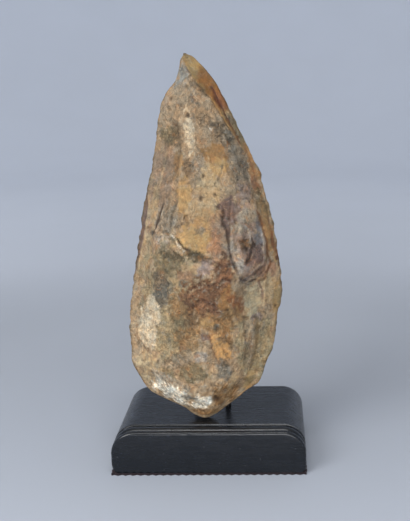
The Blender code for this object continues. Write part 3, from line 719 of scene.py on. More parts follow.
# What shows on the stone: sRGB colour, grain of its surface (0 smooth), roughness
pigments = {
    "sand": ((160, 138, 112), 0.5, 0.62), "pinkSand": ((152, 131, 112), 0.4, 0.60),
    "cream": ((174, 151, 118), 0.3, 0.58), "paleCream": ((202, 184, 158), 0.5, 0.66),
    "creamOrange": ((160, 128, 88), 0.2, 0.52), "white": ((220, 210, 194), 0.6, 0.80),
    "coolGrey": ((142, 137, 128), 0.4, 0.55), "greyCream": ((158, 144, 126), 0.8, 0.68),
    "greyPale": ((164, 152, 140), 0.8, 0.70), "greyBrown": ((128, 112, 93), 1.0, 0.72),
    "brownPink": ((140, 112, 90), 0.5, 0.60), "pinkBrown": ((142, 112, 94), 0.4, 0.56),
    "pinkGrey": ((142, 124, 114), 0.5, 0.60), "pinkOrange": ((156, 118, 92), 0.5, 0.56),
    "ochre": ((170, 138, 92), 0.1, 0.48), "orange": ((146, 110, 68), 0.1, 0.48),
    "orangeBright": ((194, 150, 98), 0.1, 0.46), "rust": ((128, 84, 52), 0.2, 0.50),
    "redDark": ((86, 50, 34), 0.1, 0.45), "redBrown": ((118, 86, 64), 1.0, 0.62),
    "ochreBrown": ((142, 110, 74), 0.9, 0.62), "brown": ((104, 82, 60), 0.9, 0.66),
    "darkBrown": ((66, 46, 32), 0.5, 0.70), "plum": ((112, 91, 84), 0.6, 0.60),
    "plumDark": ((74, 56, 50), 0.6, 0.62), "plumBrown": ((104, 82, 74), 0.2, 0.50),
    "lilac": ((148, 132, 126), 0.6, 0.62), "slate": ((108, 103, 94), 0.9, 0.68),
    "slateBlue": ((116, 112, 112), 0.2, 0.46), "olive": ((122, 108, 82), 0.7, 0.64),
    "oliveDark": ((92, 79, 58), 0.8, 0.68), "oliveBrown": ((128, 106, 72), 0.2, 0.50),
    "sandOlive": ((155, 138, 108), 0.6, 0.58), "paleGreen": ((170, 156, 128), 0.2, 0.54),
    "honey": ((146, 122, 84), 0.0, 0.40), "honeyOrange": ((132, 92, 50), 0.0, 0.40),
    "honeyLight": ((158, 131, 84), 0.0, 0.36),
    "chalk": ((226, 219, 205), 1.0, 0.90),
}
# Where it shows on the front: ground, flecks, their density, x, height, half sizes, direction,
# strength
frontZones = (
    ("sand", "greyBrown", 0.40, -2.2, 96.2, 140, 80, 90, 1),
    ("pinkSand", "cream", 0.40, -24.1, 115.1, 36.8, 6.4, 79, 0.9),
    ("pinkSand", "greyBrown", 0.45, -20.9, 129.0, 10.8, 5.9, 80, 0.8),
    ("brownPink", "rust", 0.35, -19.7, 139.4, 3.9, 3.9, 0, 0.75),
    ("olive", "oliveDark", 0.45, -18.0, 147.7, 6.4, 4.4, 100, 0.95),
    ("sand", "cream", 0.45, -16.3, 158.5, 8.3, 5.4, 55, 0.9),
    ("pinkSand", "brown", 0.40, -19.0, 163.8, 5.4, 1.6, 60, 0.6),
    ("coolGrey", "cream", 0.30, -11.2, 174.9, 8.4, 3.6, 75, 1),
    ("sand", "brown", 0.40, -11.4, 166.6, 5.9, 4.4, 60, 0.8),
    ("greyBrown", "olive", 0.35, -3.9, 169.8, 5.9, 2.0, 125, 0.8),
    ("sand", "brown", 0.50, -2.1, 160.7, 7.3, 5.9, 120, 0.9),
    ("greyBrown", "slate", 0.45, 0.2, 153.4, 4.4, 3.4, 120, 0.85),
    ("paleCream", "white", 0.40, -7.0, 148.5, 10.8, 2.5, 98, 1),
    ("sand", "paleCream", 0.45, 0.1, 147.1, 6.4, 5.4, 110, 0.85),
    ("greyBrown", "slate", 0.60, 9.8, 145.6, 8.8, 3.9, 120, 0.95),
    ("greyCream", "slate", 0.45, 16.1, 133.3, 12.7, 4.9, 115, 0.9),
    ("orange", "ochre", 0.40, 4.5, 137.3, 5.4, 6.4, 100, 0.95),
    ("greyCream", "pinkSand", 0.40, -2.7, 132.0, 5.4, 3.9, 90, 0.8),
    ("brown", "olive", 0.35, -8.1, 131.5, 3.9, 2.5, 100, 0.6),
    ("orange", "creamOrange", 0.45, -13.7, 132.5, 7.3, 2.5, 85, 0.85),
    ("ochre", "orange", 0.50, -10.1, 116.5, 8.8, 3.4, 88, 0.95),
    ("cream", "ochre", 0.30, 2.5, 121.2, 13.2, 5.9, 95, 1),
    ("cream", "ochre", 0.35, -2.3, 108.2, 5.9, 6.9, 0, 0.8),
    ("ochre", "cream", 0.30, 7.0, 130.9, 4.9, 4.4, 95, 0.8),
    ("greyCream", "slate", 0.55, 20.0, 126.3, 4.9, 3.4, 110, 0.9),
    # upper right edge
    ("orange", "rust", 0.50, 22.5, 133.2, 11.8, 2.8, 113, 1),
    ("rust", "redDark", 0.40, 25.0, 121.7, 5.4, 2.0, 110, 0.9),
    ("slate", "brown", 0.50, 15.6, 140.5, 9.8, 2.6, 118, 0.7),
    ("greyBrown", "slate", 0.50, 17.6, 124.5, 8.8, 3.4, 112, 0.6),
    ("oliveBrown", "olive", 0.40, 28.5, 111.6, 9.8, 2.5, 108, 0.9),
    ("pinkGrey", "plum", 0.35, 19.1, 116.5, 6.9, 3.9, 100, 0.85),
    ("plum", "plumDark", 0.50, 12.8, 108.5, 7.8, 5.9, 115, 0.95),
    ("plum", "greyPale", 0.40, 9.4, 102.7, 5.9, 4.4, 100, 0.8),
    # hollow of the centre
    ("ochre", "cream", 0.30, -4.2, 96.2, 10.8, 7.8, 20, 1),
    ("creamOrange", "ochre", 0.30, 0.2, 104.8, 6.9, 5.9, 0, 0.7),
    ("pinkSand", "pinkGrey", 0.35, 7.0, 96.1, 9.8, 3.4, 95, 0.85),
    ("pinkOrange", "pinkSand", 0.35, 4.6, 91.3, 8.8, 2.9, 80, 0.8),
    ("slate", "sand", 0.55, -2.2, 100.1, 2.5, 2.0, 0, 0.6),
    # left margin, lower
    ("cream", "pinkSand", 0.35, -26.3, 111.0, 11.8, 2.0, 82, 0.85),
    ("cream", "ochre", 0.35, -29.8, 88.9, 11.8, 2.5, 80, 0.9),
    # crust over the step
    ("greyCream", "paleCream", 0.50, -19.4, 102.6, 11.5, 5.4, 74, 0.95),
    ("greyPale", "white", 0.55, -21.3, 95.4, 5.2, 2.2, 0, 0.9),
    # cortex below the step
    ("sandOlive", "greyBrown", 0.50, -16.9, 66.0, 26.9, 17.6, 90, 0.9),
    ("oliveDark", "greyBrown", 0.40, -15.6, 88.4, 7.0, 2.9, -8, 0.9),
    ("olive", "oliveDark", 0.45, -16.3, 82.6, 6.4, 4.4, 0, 0.9),
    ("oliveDark", "slate", 0.50, -4.2, 88.6, 4.9, 2.0, -15, 0.9),
    ("olive", "brown", 0.40, -22.7, 84.8, 6.9, 3.9, 80, 0.7),
    ("slate", "olive", 0.50, -22.7, 69.0, 8.3, 4.4, 80, 0.9),
    ("greyBrown", "slate", 0.45, -23.0, 76.7, 4.4, 3.9, 0, 0.8),
    ("lilac", "pinkSand", 0.40, 0.3, 83.0, 5.9, 3.9, 60, 0.95),
    ("brownPink", "sand", 0.45, -9.6, 79.0, 4.9, 2.9, 0, 0.85),
    ("slate", "lilac", 0.45, -9.8, 74.3, 2.9, 2.0, 0, 0.8),
    ("ochreBrown", "brown", 0.45, -12.8, 62.3, 8.8, 5.9, 80, 0.85),
    ("ochreBrown", "redBrown", 0.50, 2.0, 62.0, 17.0, 12.5, 100, 0.9),
    ("redBrown", "plum", 0.45, 0.8, 68.5, 12.5, 9.8, 30, 0.95),
    ("redBrown", "pinkSand", 0.45, 4.2, 62.7, 4.9, 4.4, 0, 0.6),
    ("redBrown", "pinkBrown", 0.40, 10.4, 81.5, 8.8, 4.9, 80, 0.95),
    ("orange", "ochre", 0.40, 11.1, 67.9, 5.9, 3.9, 60, 0.95),
    ("rust", "orange", 0.45, 14.8, 64.6, 7.4, 2.9, 118, 0.9),
    ("ochreBrown", "rust", 0.35, 12.3, 54.8, 6.9, 4.4, 70, 0.85),
    ("olive", "oliveDark", 0.50, 5.0, 52.3, 2.9, 2.5, 0, 0.85),
    ("rust", "orange", 0.40, 5.3, 47.6, 4.4, 2.0, 10, 0.8),
    ("plum", "slate", 0.40, -1.0, 47.9, 2.5, 2.5, 0, 0.8),
    ("ochre", "orange", 0.40, 0.6, 55.1, 3.4, 2.9, 0, 0.6),
    # orange fan, and the facets right of it
    ("ochreBrown", "rust", 0.40, 9.4, 48.5, 8.5, 4.6, 100, 0.9),
    ("orangeBright", "ochre", 0.40, 7.2, 40.6, 8.0, 3.9, 112, 1),
    ("sandOlive", "greyCream", 0.45, 19.5, 41.7, 16.7, 5.9, 96, 0.95),
    ("sand", "paleCream", 0.40, 22.0, 43.5, 13.2, 2.6, 94, 0.9),
    ("greyBrown", "sandOlive", 0.45, 9.8, 28.6, 6.9, 3.9, 95, 0.85),
    ("sandOlive", "honey", 0.35, 28.5, 38.7, 16.7, 4.9, 84, 1),
    ("paleGreen", "cream", 0.30, 22.7, 64.5, 9.3, 3.9, 85, 0.95),
    ("lilac", "white", 0.35, 24.6, 54.9, 2.9, 2.0, 0, 0.8),
    ("cream", "pinkGrey", 0.50, 30.8, 71.5, 9.8, 4.4, 85, 0.95),
    ("honey", "olive", 0.35, 35.3, 63.0, 10.8, 2.0, 90, 0.9),
    # knot
    ("pinkGrey", "plum", 0.35, 20.6, 93.3, 17.6, 8.3, 93, 0.9),
    ("greyCream", "greyPale", 0.35, 21.1, 107.3, 4.4, 3.4, 0, 0.95),
    ("greyCream", "greyPale", 0.40, 15.9, 101.8, 3.9, 2.9, 0, 0.9),
    ("greyPale", "greyCream", 0.40, 14.9, 86.4, 10.3, 2.9, 106, 1),
    ("slateBlue", "slate", 0.30, 26.5, 98.2, 5.9, 2.5, 85, 1),
    ("plum", "plumDark", 0.30, 25.0, 87.0, 5.9, 3.9, 60, 0.9),
    ("brown", "plumDark", 0.35, 20.1, 93.8, 3.4, 2.5, 0, 0.9),
    ("pinkBrown", "plum", 0.35, 25.9, 80.2, 3.9, 3.4, 20, 0.85),
    ("creamOrange", "cream", 0.30, 31.6, 96.5, 13.6, 2.2, 102, 1),
    ("creamOrange", "pinkSand", 0.30, 28.5, 104.8, 3.9, 1.5, 115, 0.8),
    ("rust", "orange", 0.35, 33.4, 93.9, 4.4, 1.0, 97, 0.95),
    ("redDark", "plumBrown", 0.30, 35.9, 85.0, 4.4, 1.0, 97, 0.95),
    ("pinkBrown", "pinkSand", 0.30, 32.3, 80.2, 4.9, 2.5, 110, 0.8),
    # lower left and the bottom
    ("sandOlive", "ochreBrown", 0.45, -16.9, 45.1, 12.8, 11.8, 90, 0.8),
    ("olive", "slate", 0.45, -14.0, 51.5, 8.8, 4.9, 70, 0.85),
    ("brown", "ochreBrown", 0.50, -6.5, 57.0, 5.9, 3.9, 60, 0.7),
    ("ochreBrown", "sand", 0.45, -9.0, 46.8, 5.4, 6.4, 90, 0.75),
    ("greyBrown", "greyPale", 0.50, -15.5, 33.0, 6.9, 4.4, 30, 0.8),
    ("paleCream", "chalk", 0.50, -27.6, 58.5, 7.4, 3.9, 100, 0.85),
    ("paleCream", "chalk", 0.55, -30.7, 49.4, 11.8, 4.9, 85, 0.95),
    ("cream", "ochre", 0.40, -30.0, 28.4, 9.8, 7.4, 100, 0.95),
    ("chalk", "cream", 0.45, -24.5, 23.5, 4.9, 3.4, 140, 0.7),
    ("olive", "greyBrown", 0.35, -20.3, 26.0, 6.4, 3.9, 75, 0.8),
    ("greyBrown", "olive", 0.40, -10.9, 36.6, 6.9, 4.4, 90, 0.7),
    ("olive", "brown", 0.35, -7.1, 28.3, 7.8, 4.9, 0, 0.85),
    ("slate", "greyPale", 0.40, 8.7, 28.2, 5.9, 2.9, 95, 0.6),
    ("greyPale", "chalk", 0.45, -3.3, 37.5, 3.9, 2.9, 0, 0.85),
    ("greyCream", "slate", 0.45, -18.0, 17.6, 14.0, 6.4, -30, 0.9),
    ("chalk", "greyPale", 0.45, -18.0, 15.4, 12.4, 4.6, -24, 1),
    ("chalk", "slate", 0.45, -3.6, 11.6, 5.4, 5.4, 20, 0.95),
    ("slate", "chalk", 0.40, -9.6, 13.6, 3.4, 2.0, 0, 0.8),
    ("ochreBrown", "orangeBright", 0.45, 8.7, 16.4, 8.4, 5.4, 60, 0.95),
    ("cream", "orange", 0.40, 12.7, 22.9, 4.9, 2.4, 70, 0.7),
    ("ochreBrown", "brown", 0.40, -1.8, 5.2, 7.8, 2.5, 0, 0.9),
    ("honey", "sandOlive", 0.30, 21.4, 21.5, 6.9, 3.0, 64, 0.9),
    ("orangeBright", "ochre", 0.35, 19.0, 14.0, 4.6, 2.0, 56, 0.85),
)
backZones = (
    ("sand", "cream", 0.40, 0, 95, 150, 90, 90, 1),
    ("ochre", "creamOrange", 0.40, 14, 120, 34, 12, 100, 0.9),
    ("cream", "pinkSand", 0.35, -12, 142, 26, 9, 80, 0.9),
    ("honey", "ochre", 0.30, -6, 172, 14, 8, 95, 0.85),
    ("sandOlive", "honey", 0.35, 22, 60, 34, 10, 80, 0.9),
    ("pinkSand", "pinkGrey", 0.35, -24, 92, 30, 9, 96, 0.9),
    ("greyBrown", "brown", 0.45, -3, 66, 30, 17, 84, 0.95),
    ("slate", "olive", 0.50, -8, 82, 10, 6, 30, 0.8),
    ("redBrown", "plum", 0.45, 6, 52, 11, 8, 60, 0.8),
    ("orange", "rust", 0.35, -18, 60, 9, 5, 80, 0.8),
    ("olive", "greyBrown", 0.35, 10, 92, 9, 5, 110, 0.7),
    ("greyCream", "chalk", 0.45, -20, 26, 16, 8, 40, 0.9),
    ("ochreBrown", "rust", 0.40, 12, 22, 12, 7, -30, 0.85),
    ("greyPale", "chalk", 0.50, -2, 10, 12, 5, 0, 0.85),
)


def albedo(name):
    return linear(pigments[name][0]) * axe["pigmentGain"]


def dab(paint, cover, name, fleckShare=0.7):
    colour, (grain, dullness) = albedo(name), pigments[name][1:]
    paint["ground"] += cover[:, None] * (colour - paint["ground"])
    paint["fleck"] += fleckShare * cover[:, None] * (colour - paint["fleck"])
    paint["grain"] += cover * (grain - paint["grain"])
    paint["dullness"] += cover * (dullness - paint["dullness"])


def paintZones(x, z, zones, spot):
    # the first zone lies under all the others
    base, baseFleck, density = zones[0][:3]
    values = (("density", density), ("grain", pigments[base][1]), ("dullness", pigments[base][2]))
    paint = {name: np.full(len(x), value) for name, value in values}
    for name, pigment in (("ground", base), ("fleck", baseFleck)):
        paint[name] = np.tile(albedo(pigment), (len(x), 1))
    edge = axe["zoneEdge"]
    wavy = sum(depth * fractalNoise(spot, lumps, 3, shift)
               for depth, lumps, shift in axe["zoneWaves"])
    for ground, fleck, density, px, pz, halfLong, halfWide, turn, strength in zones[1:]:
        inside = insideEllipse(x, z, (px, pz), turn, halfLong, halfWide)
        cover = strength * softStep(-edge, edge, inside + wavy)
        dab(paint, cover, ground, 0)
        paint["fleck"] += cover[:, None] * (albedo(fleck) - paint["fleck"])
        paint["density"] += cover * (density - paint["density"])
    return paint


def paintFacet(paint, x, z, facet, wander):
    dab(paint, facet, "honey", 1.0)
    for pigment, px, pz, halfLong, halfWide, turn, strength in facetZones:
        inside = insideEllipse(x, z, (px, pz), turn, halfLong, halfWide)
        cover = softStep(*axe["facetBorder"], inside + axe["drift"]["facet"] * wander)
        dab(paint, facet * strength * cover, pigment, 1.0)


def paintStrip(paint, x, z, left, wander):
    # the sunk dark strip along the left rim, with a pale ridge beside it
    size = axe["strip"]
    width = np.interp(z, *zip(*leftStrip))
    inStrip = width - (x - left) + axe["drift"]["strip"] * wander
    strip = softStep(-size["soft"], size["soft"], inStrip) * softStep(0, size["ends"], width)
    dab(paint, size["cover"] * strip, "plumBrown")
    ridge = np.exp(-(((inStrip + size["ridgePlace"]) / size["ridgeWidth"]) ** 2))
    ridge *= softStep(*size["ridgeHigh"], z) * softStep(*size["ridgeLow"], z)
    dab(paint, size["ridgeCover"] * ridge, "cream")
    return size["ridgeHeight"] * ridge - size["depth"] * strip


def paintPlaneShade(paint, x, z, wander):
    size, relief = axe["plane"], np.zeros_like(x)
    (lowStart, lowEnd), (highStart, highEnd) = size["lowEnd"], size["highEnd"]
    for side, crest, low, high, depth, pigment, strength in shadedPlanes:
        crestX, crestZ = zip(*crest)
        aside = side * (x + axe["drift"]["plane"] * wander - np.interp(z, crestZ, crestX))
        plane = softStep(*size["border"], aside) * np.exp(-np.maximum(aside, 0) / size["fade"])
        plane *= softStep(low + lowStart, low + lowEnd, z)
        plane *= softStep(high + highStart, high + highEnd, z)
        relief -= depth * plane
        # painted shade: the pigment is laid over the plane where it turns away beside the crest
        dab(paint, strength * plane, pigment, size["fleckShare"])
    return relief


def paintLines(paint, x, z, spot):
    size, relief = axe["line"], np.zeros_like(x)
    uneven = 1.0 + size["unevenness"] * fractalNoise(spot, size["lumps"], 2, 9.3)
    uneven = np.clip(uneven, *size["widths"])
    for points, width, height, pigment, strength in frontLines.values():
        cover = alongLine(x, z, points, width * uneven)
        relief += height * cover
        dab(paint, strength * cover, pigment)
    return relief


def crumbs(x, z, spot):
    # the crumbly chalk of the butt and of the lower left
    size = axe["crumbs"]
    butt = softStep(*size["butt"], z + size["slant"] * x)
    left = softStep(*size["leftSide"], x) * softStep(*size["leftTop"], z)
    lumps = np.maximum(fractalNoise(spot, size["lumps"], 3, 12.1), size["floor"])
    return np.clip(butt + left, 0, 1) * size["depth"] * lumps


def paintPits(paint, x, z, pits):
    # place, radius, depth, strength of the dark brown painted into it, and how far it is drawn out
    relief = np.zeros_like(x)
    for px, pz, radius, depth, strength, tall in pits:
        cover = np.exp(-((np.hypot(x - px, (z - pz) / tall) / radius) ** 2))
        relief -= depth * cover
        dab(paint, np.clip(cover * strength, 0, 0.9), "darkBrown", 1.0)
    return relief


def backPits():
    pits = axe["backPits"]
    return [(pits["spread"] * math.sin(2.3 * number),
             pits["first"] + pits["pitch"] * number + 4 * math.sin(5 * number),
             pits["radius"] + 0.3 * math.sin(number), pits["depth"], pits["hollowDarkening"], 1.0)
            for number in range(pits["count"])]


def sheetPaint(x, z, left, spot, front, facet):
    drift = axe["drift"]
    wander, wanderZ = (drift["depth"] * fractalNoise(spot, drift["lumps"], 3, shift)
                       for shift in (1.7, 5.2))

    def drifted(kind):
        return x + drift[kind] * wander, z + drift[kind] * wanderZ

    zoneX, zoneZ = drifted("zone")
    paint = paintZones(zoneX, zoneZ, frontZones if front else backZones, spot)
    if front:
        paintFacet(paint, zoneX, zoneZ, facet, wander)
        relief = paintStrip(paint, x, z, left, wander)
        relief += paintPlaneShade(paint, x, z, wander)
        relief += paintLines(paint, *drifted("line"), spot)
        relief += crumbs(x, z, spot)
        # the pits are painted dark brown, darker the deeper they are
        pits = [(*pit, axe["pitDarkening"] * (1 + pit[3]), axe["pitTall"]) for pit in frontPits]
        relief += paintPits(paint, *drifted("pit"), pits)
    else:
        relief = paintPits(paint, x, z, backPits())
    # painted light: lighter towards the butt, darker towards the tip
    tone = np.interp(z, *zip(*axe["paintedLightByHeight"]))[:, None]
    paint["ground"] *= tone
    paint["fleck"] *= tone
    return paint, relief


def stoneGrain(spot, paint):
    size = axe["grain"]
    coarse = fractalNoise(spot, size["large"], 4, 2.2)
    fine = fractalNoise(spot, size["small"], 2, 6.6)
    ripples = np.sin(2 * math.pi * fractalNoise(spot, size["ripple"], 2, 4.4) * 3)
    rough = size["largeDepth"] * coarse + size["smallDepth"] * fine
    below = np.minimum(rough - size["floor"], 0)
    rough = np.maximum(rough, size["floor"]) + size["belowFloor"] * below
    smooth = size["smoothDepth"] * coarse + size["rippleDepth"] * ripples
    return paint["grain"] * rough + (1 - paint["grain"]) * smooth


def hollowness(depth, rows, columns):
    # above 0 on small ridges and below 0 in small hollows
    grid = depth.reshape(rows, columns)
    total = np.zeros_like(grid)
    reach = axe["hollowCells"]
    padded = np.pad(grid, reach, mode="edge")
    for down in range(2 * reach + 1):
        for side in range(2 * reach + 1):
            total += padded[down:down + rows, side:side + columns]
    smooth = total / (2 * reach + 1) ** 2
    return np.clip((grid - smooth) / axe["hollowReach"], -1, 1).ravel()


def axeRows():
    # places up the axe, closer together towards both ends
    places = np.linspace(0, 1, 4001)
    reach = axe["endReach"]
    density = 1 + axe["endDensity"] * (np.exp(-places / reach) + np.exp((places - 1) / reach))
    share = np.concatenate(([0], np.cumsum((density[1:] + density[:-1]) / 2)))
    return np.interp(np.arange(1, axe["rows"]) / axe["rows"], share / share[-1], places)


def spreadColumns(count):
    even = np.linspace(-1, 1, count + 1)
    crowding = axe["rimCrowding"]
    return (1 - crowding) * even + crowding * np.sin(math.pi / 2 * even)


def faceForm(x, z, left, right, share, across, front):
    # height of one face over the middle plane, and where the facet of the tip lies
    name = "frontCrest" if front else "backCrest"
    crest = throughStations(axe[name], share) * axe["thickness"]
    if not front:
        height = faceHeight(across, np.zeros_like(share)) * crest
        return height * (1 - deepestScar(x, z, backScars())), np.zeros_like(x)
    crestPlace = throughStations(axe["crestPlace"], share)
    height = faceHeight(across, crestPlace) * crest * (1 - deepestScar(x, z, axe["frontScars"]))
    plane, facet = tipFacet(x, z, left, right, crestPlace, crest)
    thin = axe["facetThin"]
    plane = plane * np.clip(1 - across, 0, thin) / thin
    height = height + facet * (np.minimum(plane, height + axe["facetProud"]) - height)
    inner = softStep(0, axe["formInset"], 1 - np.abs(across))
    return height + inner * (knotRise(x, z) + brokenStep(x, z)), facet


def axeSheet(rows, columns, front):
    share, across = (grid.ravel() for grid in np.meshgrid(rows, columns, indexing="ij"))
    left, right = axeEdges(share)
    z = share * axe["length"]
    rim = np.abs(across) ** 10 * awayFromEnds(share) * np.sign(across)
    ragged = fractalNoise(np.stack([20 * np.sign(across), z, 0 * z], axis=1), axe["rimLumps"], 4, 0.6)
    x = left + (across + 1) / 2 * (right - left) + edgeNicks(across, share)
    x = x + axe["rimNoise"] * rim * ragged
    atTip = softStep(*axe["tipReach"], share)
    z = z - atTip * np.where(across < 0, *axe["tipDrop"]) * np.abs(across) ** 1.6
    leftWaver = np.sin(2 * math.pi * axe["leftWaves"] * share + 0.6)
    rightWaver = np.sin(2 * math.pi * axe["rightWaves"] * share + 2.1)
    middle = axe["edgeWaver"] * awayFromEnds(share) * (
        leftWaver * (1 - across) + rightWaver * (1 + across)) / 2
    height, facet = faceForm(x, z, left, right, share, across, front)
    seed = axe["retouch"]["frontSeed" if front else "backSeed"]
    height = height * (1 - deepestScar(x, z, retouchScars(seed)) * (1 - facet))
    outward = 1 if front else -1
    depth = middle + outward * height
    spot = np.stack([x, depth, z], axis=1)
    paint, relief = sheetPaint(x, z, left, spot, front, facet)
    relief = relief + stoneGrain(spot, paint)
    fromRim = 1 - np.abs(across)
    depth = depth + outward * softStep(0, axe["reliefInset"], fromRim) * relief
    # painted shade: olive dark along the rim, half as strong on the tip's facet
    dark = softStep(axe["rimShade"], 0.0, fromRim) * (1 - 0.5 * facet)
    dab(paint, np.clip(dark * (0.5 + 0.8 * ragged), 0, 0.8), "oliveDark")
    # how hollow each spot is, which the material turns into painted shade and painted highlight
    hollow = outward * hollowness(depth, len(rows), len(columns))
    paint["hollow"] = hollow * softStep(0, axe["hollowInset"], fromRim)
    return x, z, depth, paint


def axeMesh():
    rows = axeRows()
    frontCount, backCount = axe["frontColumns"], axe["backColumns"]
    front = axeSheet(rows, spreadColumns(frontCount), True)
    back = axeSheet(rows, spreadColumns(backCount), False)

    def ring(a, b):
        # values of the front, then those of the back, round the axe
        a = a.reshape(len(rows), frontCount + 1, -1)
        b = b.reshape(len(rows), backCount + 1, -1)
        joined = np.concatenate([a, b[:, -2:0:-1]], axis=1)
        return joined.reshape(-1, joined.shape[2])

    x, z, depth = (ring(front[k], back[k])[:, 0] for k in range(3))
    ends = np.array([(axe["outline"][0][1] * axe["width"], 0, 0),
                     (axe["tipX"], 0, axe["length"] - axe["tipBlunt"])])
    points = np.vstack([np.stack([x, -depth, z], axis=1), ends])
    around = frontCount + backCount
    faces = ringFaces(len(rows), around)
    last, butt, tip = (len(rows) - 1) * around, len(points) - 2, len(points) - 1
    for k in range(around):
        after = (k + 1) % around
        faces.append((after, k, butt))
        faces.append((last + k, last + after, tip))

    lean = Matrix.Rotation(-math.radians(axe["leanDegrees"]), 3, "X")
    points = points @ np.array(lean).T * mm
    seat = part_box("hand_axe")[0].z - points[:, 2].min()
    points = points + (0, axe["placeY"] * mm, seat)
    mesh = newMesh("handAxe", points.tolist(), faces)
    for name in ("ground", "fleck", "density", "grain", "dullness", "hollow"):
        value = ring(front[3][name], back[3][name])
        value = np.vstack([value, value[:1], value[-1:]]).astype(np.float32)
        if value.shape[1] == 3:
            value = np.hstack([value, np.ones((len(value), 1), np.float32)])
            mesh.attributes.new(name, "FLOAT_COLOR", "POINT").data.foreach_set("color", value.ravel())
        else:
            mesh.attributes.new(name, "FLOAT", "POINT").data.foreach_set("value", value.ravel())
    return mesh


# The stone's surface: a noise has a size in mm, detail, roughness and distortion, here and in
# every look below
stoneLook = {
    "swirl": (5.0, 4.5), "curl": (1.5, 2.4),  # size of the stirring noise, and its reach
    "patches": {"Patch Size": 4.2, "Crumb Size": 1.3, "Crumbs": 0.5, "Edge": 0.10},
    # blotches: size, level of the noise, colour, strength
    "blotches": ((3.8, 0.57, (156, 108, 66), 0.55), (4.6, 0.58, (136, 132, 122), 0.60),
                 (3.1, 0.60, (192, 172, 142), 0.50)),
    "blotchNoise": (4.0, 0.68), "blotchEdge": 0.07, "blotchOnSmooth": 0.25,
    # strength on smooth and on crusty stone
    "cloudTone": (1.2, 2.3), "crustTone": (1.1, 2.7), "hollowDarkeningCover": (0.05, 0.14),
    "speckAmount": (0.02, 0.13), "bumpHeight": (0.35, 1.0),
    "clouds": (9.0, 7.0, 0.80), "cloudFloor": 0.60, "cloudRough": 0.5,
    "warmth": (5.0, 5.0, 0.7), "warmthEdge": (0.36, 0.64),
    "cool": (0.92, 0.99, 1.05, 1), "warm": (1.10, 1.0, 0.88, 1),
    "pebbles": (1.5, 4.0, 0.72), "threads": (2.6, 1.5, 0.5, 0.6),
    # threads: level of the noise, its edges, height
    "darkThread": (0.50, (0.050, 0.012), 0.12), "paleThread": (0.60, (0.034, 0.010), 0.16),
    "threadPatches": (6.0, 2.0), "threadCover": (0.40, 0.58, 0.25, 1.0),
    # hollowTone paints shade into small hollows and a highlight onto small ridges; the dark brown after it
    # is painted shade in the deepest hollows
    "hollowTone": 0.20, "toneFloor": 0.30, "hollowDarkening": (62, 45, 30), "hollowDarkeningEdge": (-0.45, -1.0),
    "specks": {"Spacing": 2.6, "Speck": 0.34}, "speckColour": (58, 43, 30), "speckCover": 0.36,
    "specular": 0.3, "bump": (1.0, 1.3),  # strength, and depth in mm
}


def stirred(tree, vector, size, reach):
    swirl = addNode(tree, "ShaderNodeTexNoise", {"Vector": vector, "Scale": 1 / (size * mm)})
    inputs = {0: swirl.outputs["Color"], 1: (reach * mm,) * 3, 2: vector}
    return addNode(tree, "ShaderNodeVectorMath", inputs, operation="MULTIPLY_ADD").outputs[0]


def nearLevel(tree, value, level, edges):
    away = calc(tree, "ABSOLUTE", calc(tree, "SUBTRACT", value, level))
    return between(tree, away, *edges)


def blotched(tree, colour, curly, grain):
    # blotches of rust, of cool grey and of cream
    look = stoneLook
    for size, low, tint, strength in look["blotches"]:
        blotch = noiseValue(tree, curly, size, *look["blotchNoise"])
        share = mixValue(tree, grain, look["blotchOnSmooth"] * strength, strength)
        blotch = calc(tree, "MULTIPLY", between(tree, blotch, low, low + look["blotchEdge"]), share)
        colour = mixColour(tree, blotch, colour, (*(linear(tint) * axe["pigmentGain"]), 1))
    return colour


def crustRelief(tree, place, curly):
    # pebbled ground with sunk dark threads and raised pale ones
    look = stoneLook
    thread = noiseValue(tree, curly, *look["threads"])
    darkLevel, darkEdges, darkDepth = look["darkThread"]
    paleLevel, paleEdges, paleHeight = look["paleThread"]
    cover = noiseValue(tree, place, *look["threadPatches"])
    dark = calc(tree, "MULTIPLY", nearLevel(tree, thread, darkLevel, darkEdges),
                between(tree, cover, *look["threadCover"]))
    pale = nearLevel(tree, thread, paleLevel, paleEdges)
    threads = calc(tree, "SUBTRACT", calc(tree, "MULTIPLY", pale, paleHeight),
                   calc(tree, "MULTIPLY", dark, darkDepth))
    pebbles = noiseValue(tree, curly, *look["pebbles"])
    return calc(tree, "ADD", centred(tree, pebbles), threads)


